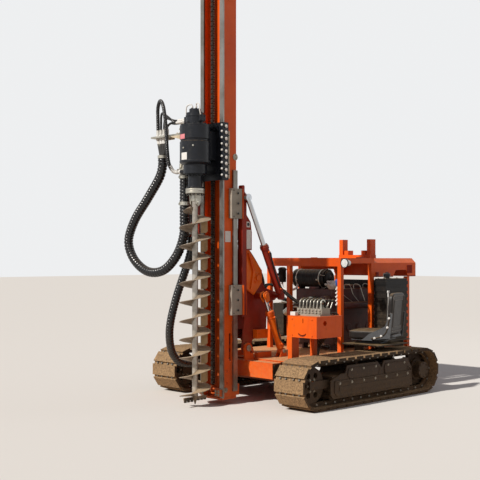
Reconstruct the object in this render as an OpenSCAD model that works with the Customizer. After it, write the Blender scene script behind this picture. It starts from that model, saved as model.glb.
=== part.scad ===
// Crawler auger rig for driving and pre-drilling solar piles.
// Millimetres, +X forward to the mast, +Y to the operator's side, +Z up.
// The origin is on the ground under the middle of the whole machine.

/* [Crawler tracks] */
// Length of a track loop over its shoes
track_length = 2370; // [2250:10:2450]
// Height of a track loop over its shoes
track_height = 500; // [480:5:520]
// Width of one shoe
shoe_width = 380; // [350:10:400]
// Distance between the centre lines of the two tracks
track_gauge = 1880; // [1860:10:1960]
// Number of shoes in one loop
shoe_count = 36; // [32:1:40]
// Thickness of a shoe plate
shoe_t = 24; // [18:1:28]
// Gap between two neighbouring shoe plates
shoe_gap = 30; // [20:2:40]
// Height of the chain links under the shoes
link_h = 46; // [40:1:52]
// Width of one row of chain links
link_w = 34; // [28:1:40]
// Forward place of the middle of the track loops
track_x = -75; // [-100:5:-50]
// Number of bottom rollers on each side
roller_count = 5; // [4:1:6]

/* [Chassis] */
// Width of the deck between the tracks
deck_w = 1400; // [1380:10:1420]
// Height of the deck's upper face
deck_z = 448; // [444:1:456]
// Thickness of the deck plate
deck_t = 8; // [6:1:12]
// Side of the square cross tubes between the track frames
cross_tube = 120; // [100:5:130]
// Height of the box beam across the front
front_beam_h = 160; // [140:5:180]
// Length of the box beam across the front
front_beam_w = 1090; // [1000:10:1200]

/* [Boom] */
// Distance over the boom's two side plates
boom_w = 260; // [240:4:270]
// Thickness of a boom side plate
boom_plate_t = 20; // [16:1:24]
// Radius of the boom's foot pin
foot_pin_r = 25; // [20:1:30]
// Radius of the fold pin at the boom's head
fold_pin_r = 30; // [24:1:34]
// Radius of a boom cylinder barrel
boom_barrel_r = 40; // [34:1:44]
// Radius of a boom cylinder rod
boom_rod_r = 22; // [18:1:26]

/* [Mast] */
// Width of the mast over its front rails
mast_w = 310; // [290:2:320]
// Depth of the mast from its front rails to its back
mast_d = 205; // [190:5:215]
// Height of the mast's lower end above the ground
mast_foot_z = 70; // [50:5:100]
// Height of the mast's upper end
mast_top_z = 4800; // [4600:20:5000]
// Thickness of the mast's side plates
mast_wall = 12; // [8:1:16]
// Width of a polished front rail
rail_w = 50; // [40:2:56]
// Thickness of a polished front rail
rail_t = 20; // [14:1:24]
// Depth of the front recess that the feed chain runs in
recess_d = 95; // [85:5:105]
// Radius of a tilt cylinder barrel
tilt_barrel_r = 42; // [36:1:46]
// Radius of a tilt cylinder rod
tilt_rod_r = 26; // [20:1:30]

/* [Drill head] */
// Distance from the rails' front faces to the auger's axis
head_reach = 230; // [220:2:240]
// Radius of the planetary gearbox
gearbox_r = 156; // [140:2:160]
// Height of the drive flange's lower face
flange_z = 2190; // [2150:5:2200]
// Height of the carriage plate
carriage_h = 590; // [560:5:640]
// Radius of the circle of bolts in the drive flange
flange_bolt_r = 78; // [74:1:80]

/* [Auger] */
// Radius of the auger over its flight
auger_r = 165; // [150:1:170]
// Pitch of the auger's flight
auger_pitch = 190; // [170:5:210]
// Radius of the auger's stem
stem_r = 30; // [26:1:34]
// Thickness of the flight
flight_t = 10; // [6:1:14]
// Height of the auger's point above the ground
auger_tip_z = 20; // [10:5:40]

/* [Engine bay] */
// Width of the engine frame and hood
bay_w = 1120; // [1080:10:1140]
// Height of the top of the engine frame and hood
bay_top = 1510; // [1490:5:1515]
// Height of the frame's top beam
beam_h = 90; // [70:5:110]
// Side of the frame's square posts
post_w = 50; // [40:2:60]
// Width between the outer faces of the mast rest's arms
rest_w = 480; // [460:5:500]

/* [Operator's place] */
// Width of the control console
console_w = 386; // [360:2:400]
// Depth of the control console
console_d = 400; // [360:5:440]
// Height of the console's upper face
console_top = 920; // [900:5:940]
// Number of levers on the valve bank
lever_count = 7; // [5:1:8]
// Width of the seat
seat_w = 430; // [400:5:450]
// Turn of the seat from straight ahead towards the machine's middle
seat_turn = 73; // [60:1:80]

/* [Hoses] */
// Radius of the guarded hose bundle that hangs from the drill head
loop_r = 50; // [40:1:54]
// Radius of the supply bundle from the chassis
supply_r = 44; // [36:1:46]
// Radius of one hydraulic hose
hose_r = 17; // [12:1:20]

/* [Hidden] */
$fn = 48;

paint = "#d8431c";
shade = "#a8301a";
steel = "#a7a9a8";
worn = "#9a8c7a";
black = "#1c1e22";
dark = "#3a302b";
sand = "#a98f6a";

fit = 0.05;          // running clearance of a pin in its bore
seat_gap = 0.3;      // clearance that parts seated on curved faces keep
slide_gap = 5;       // clearance of what slides past

// Crawler tracks
side = [1, -1];
track_r = track_height / 2;
shoe_r = track_r - shoe_t;
inner_r = shoe_r - link_h;
run = track_length - track_height;
axle_z = track_r;
front_axle_x = track_x + run / 2;
rear_axle_x = track_x - run / 2;
frame_half = shoe_width / 2 - 20;
frame_wall = 12;
roller_r = 45;
roller_z = track_r - inner_r + roller_r + seat_gap;
frame_low = roller_z - 18;
frame_high = track_r + inner_r - 14;
box_low = roller_z + roller_r + 12;
box_high = track_r + 90;
frame_in = track_gauge / 2 - frame_half;
loop_arc = PI * shoe_r;
loop_length = 2 * run + 2 * loop_arc;
pitch = loop_length / shoe_count;

// Chassis
rail_y = 320;
rail_b = 100;
chassis_rear = -1550;
front_beam_x = 905;
front_beam_d = 130;
front_beam_top = deck_z - 18;
deck_low = deck_z - deck_t;
cross_low = 200;
cross_high = cross_low + cross_tube;
cross_xs = [560, -740];

// Mast and what carries it, along X
mast_front = 1245;
mast_back = mast_front - mast_d;
fold_x = 731;
fold_z = 1300;
foot_x = 865;
foot_z = 560;
boom_half = boom_w / 2;
lug_gap = 6;
lug_t = 25;
lug_y = boom_half + lug_gap;
frame_back = mast_back - 105;
frame_front = mast_back - 40;
flange_w = 22;
flange_d = 60;
guide_t = 24;
guide_out = mast_w / 2 + flange_w + slide_gap + guide_t - 1;
slide_low = 900;
slide_high = 2270;
block_zs = [920, 1920];
block_h = 310;

// Tilt cylinders
tilt_y = guide_out + 30;
tilt_top_x = mast_back - 90;
tilt_top_z = 2140;
tilt_foot_x = 440;
tilt_foot_z = 1100;
tilt_barrel_l = 612;
tilt_rod_l = 630;
tilt_angle = atan2(tilt_top_x - tilt_foot_x, tilt_top_z - tilt_foot_z);

// Boom cylinders
ram_y = boom_half + 120;
ram_top_x = 710;
ram_top_z = 1110;
ram_foot_x = 446;
ram_foot_z = deck_z + 60;
ram_angle = atan2(ram_top_x - ram_foot_x, ram_top_z - ram_foot_z);
ram_barrel_l = 480;
ram_rod_l = 470;

// Drill head
auger_x = mast_front + head_reach;
flange_t = 26;
neck_z = flange_z + flange_t;
gear_low = neck_z + 150;
gear_step = gear_low + 90;
gear_high = gear_step + 390;
carriage_low = gear_low - 58;
carriage_x = mast_front + slide_gap;
carriage_t = 25;
bracket_z = 2780;

// Engine bay
bay_front = -190;
bay_rear = -1640;
hood_front = -800;
hood_low = bay_top - 220;
rest_x = -1210;

// Operator's place
console_front = 746;
console_y = 614;
console_h = 220;
platform_z = 572;
platform_t = 12;
tank_y = bay_w / 2 + 18;
tank_w = 172;
seat_x = -505;
seat_y = tank_y + 197;
seat_z = 620;

// Eyes
tow_r = 20;
lift_r = 22;
lift_t = 24;
lift_x = (mast_front + mast_back) / 2;

// Feed chain
chain_x = mast_front - recess_d / 2 - 5;
chain_y = -35;
chain_low = mast_foot_z + 120;
chain_high = mast_top_z - 120;
chain_pitch = 50;

// Slide cylinder
lug_z = 2560;
slide_cyl_x = mast_back + 45;

// Hoses: where they are held, and the points of their routes
bundle_y = -512;
collar_z = bracket_z - 215;
port_z = gear_low + 36;
tray_x = mast_front - 85;
tray_low = 1720;
run_x = 1400;
run_y = -250;
supply_x = 1290;
supply_y = -265;
supply_end = front_beam_w / 2 + 12;
supply_end_x = 840;
supply_end_z = 335;
loop_route = [[auger_x, bundle_y, collar_z - 0.5], [auger_x, bundle_y, collar_z - 40],
    [auger_x, bundle_y, collar_z - 80], [1480, -560, 2360], [1488, -745, 2150], [1496, -960, 1920],
    [1497, -1065, 1690], [1490, -970, 1490], [1472, -760, 1365], [1450, -530, 1380], [1424, -350, 1530],
    [run_x, -262, 1740], [run_x, run_y, 1980], [run_x, run_y, 2420]];
over_route = [[auger_x, bundle_y - 75, bracket_z + 88.5], [auger_x, bundle_y - 75, bracket_z + 125],
    [1476, bundle_y - 75, bracket_z + 175], [1495, -565, 3100], [1525, -490, 3165],
    [1550, -410, 3090], [1560, -360, 2890], [1556, -345, 2660], [1532, -345, 2500], [1496, -328, 2425],
    [auger_x, -290, port_z], [auger_x, -250, port_z], [auger_x, -212.5, port_z]];
supply_route = [[supply_x, supply_y, tray_low + 9.5], [supply_x, supply_y, tray_low - 45],
    [supply_x, supply_y, tray_low - 115], [1300, -318, 1440], [1322, -470, 1080], [1312, -586, 760],
    [1238, -650, 520], [1120, -680, 385], [1010, -688, 342], [925, -686, supply_end_z],
    [864, -663, supply_end_z], [supply_end_x, -612, supply_end_z], [supply_end_x, -585, supply_end_z],
    [supply_end_x, -supply_end - 0.5, supply_end_z]];

// A cylinder between two points
module bar(a, b, r) {
    d = b - a;
    translate(a) rotate([0, acos(d.z / norm(d)), atan2(d.y, d.x)]) cylinder(h = norm(d), r = r);
}

// A cylinder along Y about a point of the X-Z plane
module cross_pin(x, z, y0, y1, r) {
    translate([x, y1, z]) rotate([90, 0, 0]) cylinder(h = y1 - y0, r = r);
}

// An outline of the X-Z plane, extruded from y0 to y1
module plate_xz(y0, y1) {
    translate([0, y1, 0]) rotate([90, 0, 0]) linear_extrude(y1 - y0) children();
}

// A box between two corners
module block(a, b) {
    translate(a) cube(b - a);
}

// Points of a smooth curve through a list of route points
function bend(p, i) = p[max(0, min(len(p) - 1, i))];
function curve_at(p, i, t) =
    let (a = bend(p, i - 1), b = bend(p, i), c = bend(p, i + 1), d = bend(p, i + 2))
    0.5 * (2 * b + (c - a) * t + (2 * a - 5 * b + 4 * c - d) * t * t + (3 * b - a - 3 * c + d) * t * t * t);
function curve(p, steps) = concat(
    [for (i = [0:len(p) - 2]) for (k = [0:steps - 1]) curve_at(p, i, k / steps)], [p[len(p) - 1]]);
function unit(v) = v / norm(v);
function heading(q, i) = unit(q[min(len(q) - 1, i + 1)] - q[max(0, i - 1)]);

// A closed tube swept along a route, its rings turned about a fixed side direction
module tube(route, r, steps, across, sides = 10) {
    q = curve(route, steps);
    rings = [for (i = [0:len(q) - 1])
        let (t = heading(q, i), u = unit(across - t * (across * t)), v = cross(t, u))
        for (k = [0:sides - 1]) q[i] + r * (cos(360 * k / sides) * u + sin(360 * k / sides) * v)];
    walls = [for (i = [0:len(q) - 2]) for (k = [0:sides - 1])
        let (a = i * sides + k, b = i * sides + (k + 1) % sides) [a, a + sides, b + sides, b]];
    first = [for (k = [0:sides - 1]) k];
    last = [for (k = [sides - 1:-1:0]) (len(q) - 1) * sides + k];
    polyhedron(rings, concat(walls, [first, last]));
}

// A point of the track loop: distance s along the shoes' inner face, h outside it
function loop_point(s, h) =
    let (w = (s + 4 * loop_length) % loop_length, r = shoe_r + h)
    w < run ? [rear_axle_x + w, axle_z + r]
    : w < run + loop_arc ? let (a = 90 - (w - run) / loop_arc * 180)
        [front_axle_x + r * cos(a), axle_z + r * sin(a)]
    : w < 2 * run + loop_arc ? [front_axle_x - (w - run - loop_arc), axle_z - r]
    : let (a = 270 - (w - 2 * run - loop_arc) / loop_arc * 180)
        [rear_axle_x + r * cos(a), axle_z + r * sin(a)];

// Outline of the shoes: each a plate with a gap to the next
module shoe_outline() {
    polygon([for (i = [0:shoe_count - 1]) for (c = [[shoe_gap / 2, 0], [shoe_gap / 2, shoe_t],
        [pitch - shoe_gap / 2, shoe_t], [pitch - shoe_gap / 2, 0]]) loop_point(i * pitch + c[0], c[1])]);
}

// Outline of the loop at a depth inside the shoes
module loop_outline(depth) {
    polygon([for (i = [0:shoe_count - 1]) for (k = [0, 1]) loop_point((i + k / 2) * pitch, -depth)]);
}

module track(y) {
    belt = 8;
    plate_xz(y - shoe_width / 2, y + shoe_width / 2) difference() {
        shoe_outline();
        loop_outline(belt);
    }
    for (s = side) plate_xz(y + s * 75 - link_w / 2, y + s * 75 + link_w / 2) difference() {
        loop_outline(belt / 2);
        loop_outline(link_h);
    }
}

module track_left() {
    color(sand) track(track_gauge / 2);
}

module track_right() {
    color(sand) track(-track_gauge / 2);
}

// Side wall of a track frame, with covers, notch and rear opening
module frame_wall_outline() {
    rear = rear_axle_x + 250;
    front = front_axle_x - 200;
    notch = -190;
    difference() {
        polygon([
            [rear, frame_low + 20], [rear + 60, frame_low], [front - 40, frame_low], [front,
                frame_low + 50],
            [front, box_high - 60], [front - 170, box_high], [426, box_high], [396, frame_high],
            [notch + 70, frame_high], [notch, box_high + 10], [notch - 40, frame_high],
            [rear + 90, frame_high], [rear + 20, box_high - 30]]);
        translate([rear + 110, axle_z + 30]) circle(r = 36);
        translate([rear + 92, axle_z - 16]) square([30, 50]);
    }
}

// One track frame: side walls, the box between them, the idler's yoke and the drive's arm
module track_frame(y, outside) {
    for (s = side) plate_xz(y + s * (frame_half - frame_wall / 2) - frame_wall / 2,
        y + s * (frame_half - frame_wall / 2) + frame_wall / 2) frame_wall_outline();
    block([rear_axle_x + 300, y - frame_half + frame_wall, box_low],
        [front_axle_x - 240, y + frame_half - frame_wall, box_high - 20]);
    for (s = side) block([front_axle_x - 260, y + s * 110 - 12, axle_z - 40],
        [front_axle_x + 60, y + s * 110 + 12, axle_z + 40]);
    plate_xz(y - outside * 135 - 15, y - outside * 135 + 15) {
        translate([rear_axle_x, axle_z]) circle(r = 100);
        translate([rear_axle_x, axle_z - 70]) square([320, 140]);
    }
    lip = y + outside * frame_half;
    block([rear_axle_x + 320, min(lip, lip + outside * 10), box_low],
        [front_axle_x - 330, max(lip, lip + outside * 10), box_low + 40]);
}

module track_frame_left() {
    color(dark) track_frame(track_gauge / 2, 1);
}

module track_frame_right() {
    color(dark) track_frame(-track_gauge / 2, -1);
}

// Idler wheels: a guide disc between the chain rows, treads under them and a hub to the yoke
module front_idlers() {
    color(dark) for (s = side) difference() {
        y = s * track_gauge / 2;
        union() {
            cross_pin(front_axle_x, axle_z, y - 40, y + 40, inner_r + 22);
            cross_pin(front_axle_x, axle_z, y - 94, y + 94, inner_r - 3);
            cross_pin(front_axle_x, axle_z, y - 98, y + 98, 50);
        }
        for (k = [0:5]) cross_pin(front_axle_x + 110 * cos(60 * k), axle_z + 110 * sin(60 * k),
            y - 100, y + 100, 30);
    }
}

// Toothed drive wheels, each on the round case of its travel motor
module drive_sprockets() {
    teeth = 18;
    tooth_r = shoe_r - 14;
    root_r = inner_r - 6;
    color(dark) for (s = side) {
        y = s * track_gauge / 2;
        plate_xz(y - 22, y + 22) translate([rear_axle_x, axle_z])
            polygon([for (k = [0:teeth - 1]) for (c = [[-0.34, root_r], [-0.16, tooth_r], [0.16, tooth_r],
                [0.34, root_r]]) let (a = (k + c[0]) * 360 / teeth) [c[1] * cos(a), c[1] * sin(a)]]);
        cross_pin(rear_axle_x, axle_z, min(y - s * 120, y + s * 60), max(y - s * 120, y + s * 60), 118);
        cross_pin(rear_axle_x, axle_z, min(y, y + s * 150), max(y, y + s * 150), 92);
        for (k = [0:7]) cross_pin(rear_axle_x + 76 * cos(45 * k), axle_z + 76 * sin(45 * k),
            min(y, y + s * 158), max(y, y + s * 158), 8);
    }
}

module track_rollers() {
    span = front_axle_x - rear_axle_x - 620;
    top_r = 34;
    color(dark) for (s = side) {
        y = s * track_gauge / 2;
        for (k = [0:roller_count - 1]) {
            x = rear_axle_x + 310 + span * k / (roller_count - 1);
            cross_pin(x, roller_z, y - 96, y + 96, roller_r);
            cross_pin(x, roller_z, y - frame_half + frame_wall, y + frame_half - frame_wall, 20);
        }
        for (x = [150, -500]) {
            cross_pin(x, axle_z + inner_r - top_r - seat_gap, y - 96, y + 96, top_r);
            cross_pin(x, axle_z + inner_r - top_r - seat_gap, y - frame_half + frame_wall,
                y + frame_half - frame_wall, 16);
        }
    }
}

module chassis_frame() {
    color(shade) {
        for (s = side) block([chassis_rear, s * rail_y - rail_b / 2, cross_high],
            [front_beam_x - front_beam_d, s * rail_y + rail_b / 2, deck_low]);
        for (x = cross_xs) block([x - cross_tube / 2, -frame_in, cross_low], [x + cross_tube / 2,
            frame_in, cross_high]);
        block([chassis_rear, -rail_y + rail_b / 2, cross_high + 10], [chassis_rear + 80,
            rail_y - rail_b / 2, deck_low]);
        difference() {
            block([chassis_rear - 85, -70, cross_high + 60], [chassis_rear, 70, cross_high + 85]);
            translate([chassis_rear - 45, 0, cross_high + 50]) cylinder(h = 50, r = tow_r);
        }
    }
}

// Box beam across the front with the boom's lugs and stub pins and the plate that ends the supply hoses
module front_beam() {
    lug_out = lug_y + lug_t;
    color(paint) {
        block([front_beam_x - front_beam_d, -front_beam_w / 2, front_beam_top - front_beam_h],
            [front_beam_x, front_beam_w / 2, front_beam_top]);
        block([supply_end_x - supply_r - 6, -supply_end, supply_end_z - supply_r - 6],
            [supply_end_x + supply_r + 6, -front_beam_w / 2, supply_end_z + supply_r + 6]);
        for (s = side) {
            plate_xz(min(s * lug_y, s * lug_out), max(s * lug_y, s * lug_out)) {
                polygon([[front_beam_x - front_beam_d + 2, front_beam_top], [front_beam_x - 4,
                    front_beam_top],
                    [foot_x + 55, foot_z + 10], [foot_x - 55, foot_z + 10]]);
                translate([foot_x, foot_z]) circle(r = 57);
            }
            cross_pin(foot_x, foot_z, min(s * (boom_half - boom_plate_t - 5), s * (lug_out + 8)),
                max(s * (boom_half - boom_plate_t - 5), s * (lug_out + 8)), foot_pin_r);
        }
    }
}

module deck() {
    rear_w = bay_w;
    step_x = -1230;
    front_x = front_beam_x - front_beam_d;
    lug_in = 14;
    color(paint) {
        block([step_x, -deck_w / 2, deck_low], [front_x, deck_w / 2, deck_z]);
        block([chassis_rear, -rear_w / 2, deck_low], [step_x, rear_w / 2, deck_z]);
        for (s = side) {
            for (f = side) plate_xz(s * ram_y + f * 29 - 7, s * ram_y + f * 29 + 7) {
                polygon([[ram_foot_x - 60, deck_z], [ram_foot_x + 60, deck_z], [ram_foot_x + 30,
                    ram_foot_z + 10],
                    [ram_foot_x - 30, ram_foot_z + 10]]);
                translate([ram_foot_x, ram_foot_z]) circle(r = 32);
            }
            cross_pin(ram_foot_x, ram_foot_z, s * ram_y - 40, s * ram_y + 40, 18);
            block([540, s * 165 - 25, deck_z], [750, s * 165 + 25, deck_z + 60]);
        }
    }
}

// Platforms above the tracks: the seat and hydraulic tank on the left, the fuel tank on the right
module side_platforms() {
    inner = bay_w / 2 + 10;
    outer = tank_y + tank_w + 15;
    color(black) {
        block([-1220, inner, platform_z - platform_t], [-200, outer, platform_z]);
        block([-770, outer, platform_z - platform_t], [-200, seat_y + 282, platform_z]);
        block([-1220, -outer, platform_z - platform_t], [-400, -inner, platform_z]);
        for (s = side) for (x = [-1200, -820, -430]) block([x, min(s * inner, s * (inner + 120)), deck_z],
            [x + platform_t, max(s * inner, s * (inner + 120)), platform_z - platform_t]);
    }
}

module engine_frame() {
    out = bay_w / 2;
    beam_low = bay_top - beam_h;
    color(paint) {
        block([bay_front - 60, -out, beam_low], [bay_front, out, bay_top]);
        for (y = [out - post_w, -245, -out]) block([bay_front - post_w, y, deck_z], [bay_front,
            y + post_w, beam_low]);
        for (s = side) {
            block([hood_front, min(s * out, s * (out - post_w)), bay_top - 60],
                [bay_front - 60, max(s * out, s * (out - post_w)), bay_top]);
            block([chassis_rear + 40, min(s * out, s * (out - post_w)), deck_z],
                [chassis_rear + 90, max(s * out, s * (out - post_w)), hood_low]);
            block([hood_front, min(s * out, s * (out - post_w)), deck_z],
                [hood_front + post_w, max(s * out, s * (out - post_w)), bay_top - 60]);
        }
    }
}

module hood_section(inset) {
    h = bay_w / 2 - inset;
    top = bay_top - inset;
    polygon([[-h, hood_low - inset], [-h, top - 55], [-h + 55, top], [h - 55, top], [h, top - 55],
        [h, hood_low - inset]]);
}

// Hood over the engine: a folded shell with chamfered edges and an arched opening in each side
module engine_hood() {
    skin = 10;
    color(paint) difference() {
        translate([bay_rear, 0, 0]) rotate([90, 0,
            90]) linear_extrude(hood_front - bay_rear) hood_section(0);
        translate([bay_rear + skin, 0, 0]) rotate([90, 0,
            90]) linear_extrude(hood_front - bay_rear) hood_section(skin);
        plate_xz(-bay_w, bay_w) polygon([[-1480, hood_low - 5], [-1440, hood_low + 80], [-1230,
            hood_low + 80],
            [-1170, hood_low - 5]]);
    }
}

// Cradle that the folded mast lies in
module mast_rest() {
    lie_z = fold_z + mast_back - fold_x;
    color(paint) {
        block([rest_x - 60, -rest_w / 2, bay_top], [rest_x + 60, rest_w / 2, bay_top + 40]);
        for (s = side) {
            block([rest_x - 50, min(s * (rest_w / 2 - 55), s * rest_w / 2), bay_top + 40],
                [rest_x + 50, max(s * (rest_w / 2 - 55), s * rest_w / 2), lie_z + 130]);
            block([rest_x - 50, min(s * 100, s * 160), bay_top + 40], [rest_x + 50, max(s * 100,
                s * 160), lie_z - 6]);
        }
    }
}

module engine_block() {
    color("#6e2f2c") {
        block([-1240, -280, deck_z + 70], [-400, 280, 1150]);
        for (x = [-1180, -520]) for (s = side) block([x, s * 240 - 40, deck_z], [x + 80,
            s * 240 + 40, deck_z + 70]);
    }
}

module air_cleaner() {
    x = -470;
    z = 1275;
    color(black) {
        cross_pin(x, z, -330, 150, 105);
        cross_pin(x, z, 150, 170, 88);
        cross_pin(x, z, 100, 118, 111);
        for (y = [-250, 60]) block([x - 40, y - 15, 1150], [x + 40, y + 15, 1190]);
    }
}

module cooler() {
    color(black) {
        block([-1500, -430, deck_z], [-1400, 430, 1240]);
        for (k = [0:8]) block([-1510, -400, deck_z + 60 + 80 * k], [-1500, 400, deck_z + 100 + 80 * k]);
    }
}

// Ribbed tank with a filler cap
module hydraulic_tank() {
    lo = [-1200, tank_y, platform_z];
    hi = [-770, tank_y + tank_w, 1275];
    color(black) {
        block(lo + [8, 8, 0], hi - [8, 8, 0]);
        for (k = [0:8]) block([lo.x, lo.y, lo.z + 25 + 76 * k], [hi.x, hi.y, lo.z + 65 + 76 * k]);
        translate([-900, tank_y + tank_w / 2, hi.z]) cylinder(h = 42, r = 36);
    }
}

module fuel_tank() {
    color(black) {
        block([-1150, -tank_y - tank_w, platform_z], [-500, -tank_y, 960]);
        translate([-620, -tank_y - tank_w / 2, 960]) cylinder(h = 36, r = 34);
    }
}

module work_lamp() {
    y = bay_w / 2 + 80;
    z = 1455;
    color("#d9dadb") {
        translate([bay_front - 40, y, z]) rotate([0, 90, 0]) cylinder(h = 70, r1 = 30, r2 = 48);
        translate([bay_front + 30, y, z]) rotate([0, 90, 0]) cylinder(h = 8, r = 50);
        block([bay_front - 45, bay_w / 2, z - 12], [bay_front - 21, y - 20, z + 12]);
    }
}

// Hollow console with its handle slot, slit and round side hole, on two posts
module console() {
    wall = 6;
    x0 = console_front - console_d;
    y1 = console_y + console_w;
    low = console_top - console_h;
    color(paint) {
        difference() {
            block([x0, console_y, low], [console_front, y1, console_top]);
            block([x0 + wall, console_y + wall, low - 1], [console_front - wall, y1 - wall,
                console_top - wall]);
            translate([console_front - 20, console_y + console_w / 2, low + 95]) rotate([90, 0, 90])
                linear_extrude(40) intersection() {
                    difference() {
                        circle(r = 80);
                        circle(r = 66);
                    }
                    translate([-52, -90]) square([104, 42]);
                }
            translate([console_front - 20, console_y + console_w / 2 + 6, low + 150]) cube([40, 10, 46]);
            cross_pin(console_front - 130, low + 150, y1 - 20, y1 + 20, 26);
        }
        block([console_front - 110, console_y, deck_z], [console_front, console_y + 54, low]);
        block([x0, console_y, deck_z], [x0 + 50, console_y + 54, low]);
    }
}

// Sectional valve with a row of spools
module valve_bank() {
    y0 = console_y + 30;
    step = (console_w - 60) / lever_count;
    color("#8d8f90") {
        block([console_front - 250, y0, console_top], [console_front - 90,
            console_y + console_w - 30, console_top + 20]);
        for (k = [0:lever_count - 1]) {
            block([console_front - 245, y0 + step * k + 4, console_top + 20],
                [console_front - 110, y0 + step * (k + 1) - 4, console_top + 75]);
            translate([console_front - 225, y0 + step * (k + 0.5),
                console_top + 75]) cylinder(h = 22, r = 11);
            translate([console_front - 165, y0 + step * (k + 0.5),
                console_top + 75]) cylinder(h = 14, r = 14, $fn = 6);
        }
    }
}

// Hand levers in a row, each bent back to its knob, and the pipes that arch over the valve
module control_levers() {
    y0 = console_y + 30;
    step = (console_w - 60) / lever_count;
    arch = 32;
    color("#d5d6d4") for (k = [0:lever_count - 1]) {
        y = y0 + step * (k + 0.5);
        translate([console_front - 130, y, console_top + 75]) {
            cylinder(h = 55, r = 8);
            translate([-arch, 0, 55]) rotate([90, 0,
                0]) rotate_extrude(angle = 150) translate([arch, 0]) circle(r = 8, $fn = 24);
        }
        bar([console_front - 262, y, console_top + 40], [console_front - 320, y, console_top + 150], 6);
        translate([console_front - 320, y, console_top + 150]) sphere(r = 16, $fn = 24);
        bar([console_front - 245, y, console_top + 40], [console_front - 268, y, console_top + 40], 9);
    }
}

module seat_pedestal() {
    color("#55585b") translate([seat_x, seat_y, 0]) rotate([0, 0, -seat_turn]) {
        block([-120, -120, platform_z], [120, 120, platform_z + 12]);
        block([-90, -90, platform_z + 12], [90, 90, seat_z - 10]);
        block([-seat_w / 2 + 20, -seat_w / 2 + 30, seat_z - 10], [seat_w / 2 - 20, seat_w / 2 - 30,
            seat_z]);
        for (s = side) {
            y = s * (seat_w / 2 + 6);
            plate_xz(y - 6, y + 6) polygon([[-seat_w / 2 - 46, seat_z + 20], [60, seat_z - 10],
                [-20, seat_z + 60],
                [-seat_w / 2 + 8, seat_z + 150], [-seat_w / 2 - 50, seat_z + 300],
                    [-seat_w / 2 - 74, seat_z + 290]]);
            block([-60, min(y + 6 * s, s * (seat_w / 2 - 30)), seat_z - 10], [60, max(y + 6 * s,
                s * (seat_w / 2 - 30)), seat_z]);
        }
    }
}

module seat_cushion() {
    color(black) translate([seat_x, seat_y, 0]) rotate([0, 0, -seat_turn])
        block([-seat_w / 2 + 4, -seat_w / 2 + seat_gap, seat_z + seat_gap], [seat_w / 2 + 20,
            seat_w / 2 - seat_gap, seat_z + 110]);
}

module seat_back() {
    color(black) translate([seat_x, seat_y, 0]) rotate([0, 0, -seat_turn])
        plate_xz(-seat_w / 2 + seat_gap, seat_w / 2 - seat_gap) polygon([[-seat_w / 2 - 40, seat_z + 60],
            [-seat_w / 2 + 2, seat_z + 60], [-seat_w / 2 - 15, seat_z + 500], [-seat_w / 2 - 50,
                seat_z + 510],
            [-seat_w / 2 - 85, seat_z + 490]]);
}

// The boom: two side plates joined by webs, with pins for its cylinders
module boom_outline() {
    polygon([[foot_x - 43, foot_z - 38], [foot_x + 53, foot_z + 30], [905, 760], [868, 1080],
        [fold_x + 70, fold_z + 30], [fold_x - 60, fold_z + 45], [580, 1190], [tilt_foot_x - 14,
            tilt_foot_z + 45],
        [tilt_foot_x - 30, tilt_foot_z - 30], [545, 1000], [560, 720], [770, 640], [foot_x - 60, foot_z]]);
    translate([foot_x, foot_z]) circle(r = 60);
    translate([fold_x, fold_z]) circle(r = 78);
    translate([tilt_foot_x, tilt_foot_z]) circle(r = 50);
}

module boom() {
    inside = boom_half - boom_plate_t;
    color(shade) {
        difference() {
            union() {
                for (s = side) plate_xz(min(s * inside, s * boom_half), max(s * inside,
                    s * boom_half)) boom_outline();
                plate_xz(-inside, inside) {
                    polygon([[905, 760], [868, 1080], [852, 1080], [889, 760]]);
                    polygon([[560, 720], [770, 640], [776, 655], [566, 736]]);
                    polygon([[560, 720], [576, 720], [561, 1000], [545, 1000]]);
                    polygon([[580, 1190], [588, 1176], [tilt_foot_x - 4, tilt_foot_z + 32],
                        [tilt_foot_x - 12, tilt_foot_z + 46]]);
                }
            }
            cross_pin(foot_x, foot_z, -boom_half - 5, boom_half + 5, foot_pin_r + fit);
            cross_pin(fold_x, fold_z, -boom_half - 5, boom_half + 5, fold_pin_r + fit);
        }
        for (s = side) {
            cross_pin(tilt_foot_x, tilt_foot_z, min(s * boom_half, s * (tilt_y + 26)),
                max(s * boom_half, s * (tilt_y + 26)), 24);
            cross_pin(ram_top_x, ram_top_z, min(s * boom_half, s * (ram_y - 26)),
                max(s * boom_half, s * (ram_y - 26)), 38);
        }
    }
}

// A cylinder barrel on a narrow neck from its foot eye, bored for the rod
module barrel(x, z, y, angle, length, r, rod_r, eye_r, pin_r) {
    neck_r = 17;
    difference() {
        union() {
            cross_pin(x, z, y - 20, y + 20, eye_r);
            translate([x, y, z]) rotate([0, angle, 0]) {
                translate([0, 0, eye_r - 12]) cylinder(h = 24, r = neck_r);
                translate([0, 0, eye_r + 6]) cylinder(h = length - eye_r - 6, r = r);
                translate([0, 0, length - 46]) cylinder(h = 30, r = r + 6);
            }
        }
        cross_pin(x, z, y - 25, y + 25, pin_r + fit);
        translate([x, y, z]) rotate([0, angle, 0]) translate([0, 0,
            eye_r + 18]) cylinder(h = length, r = rod_r + fit);
    }
}

// A cylinder rod from its eye down into the barrel
module rod(x, z, y, angle, length, r, eye_r) {
    cross_pin(x, z, y - 20, y + 20, eye_r);
    translate([x, y, z]) rotate([0, angle, 0]) translate([0, 0, -length]) cylinder(h = length, r = r);
}

module boom_cylinder_barrels() {
    color(paint) for (s = side)
        barrel(ram_foot_x, ram_foot_z, s * ram_y, ram_angle, ram_barrel_l, boom_barrel_r,
            boom_rod_r, 36, 18);
}

module boom_cylinder_rods() {
    color(steel) for (s = side) rod(ram_top_x, ram_top_z, s * ram_y, ram_angle, ram_rod_l, boom_rod_r, 36);
}

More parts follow.
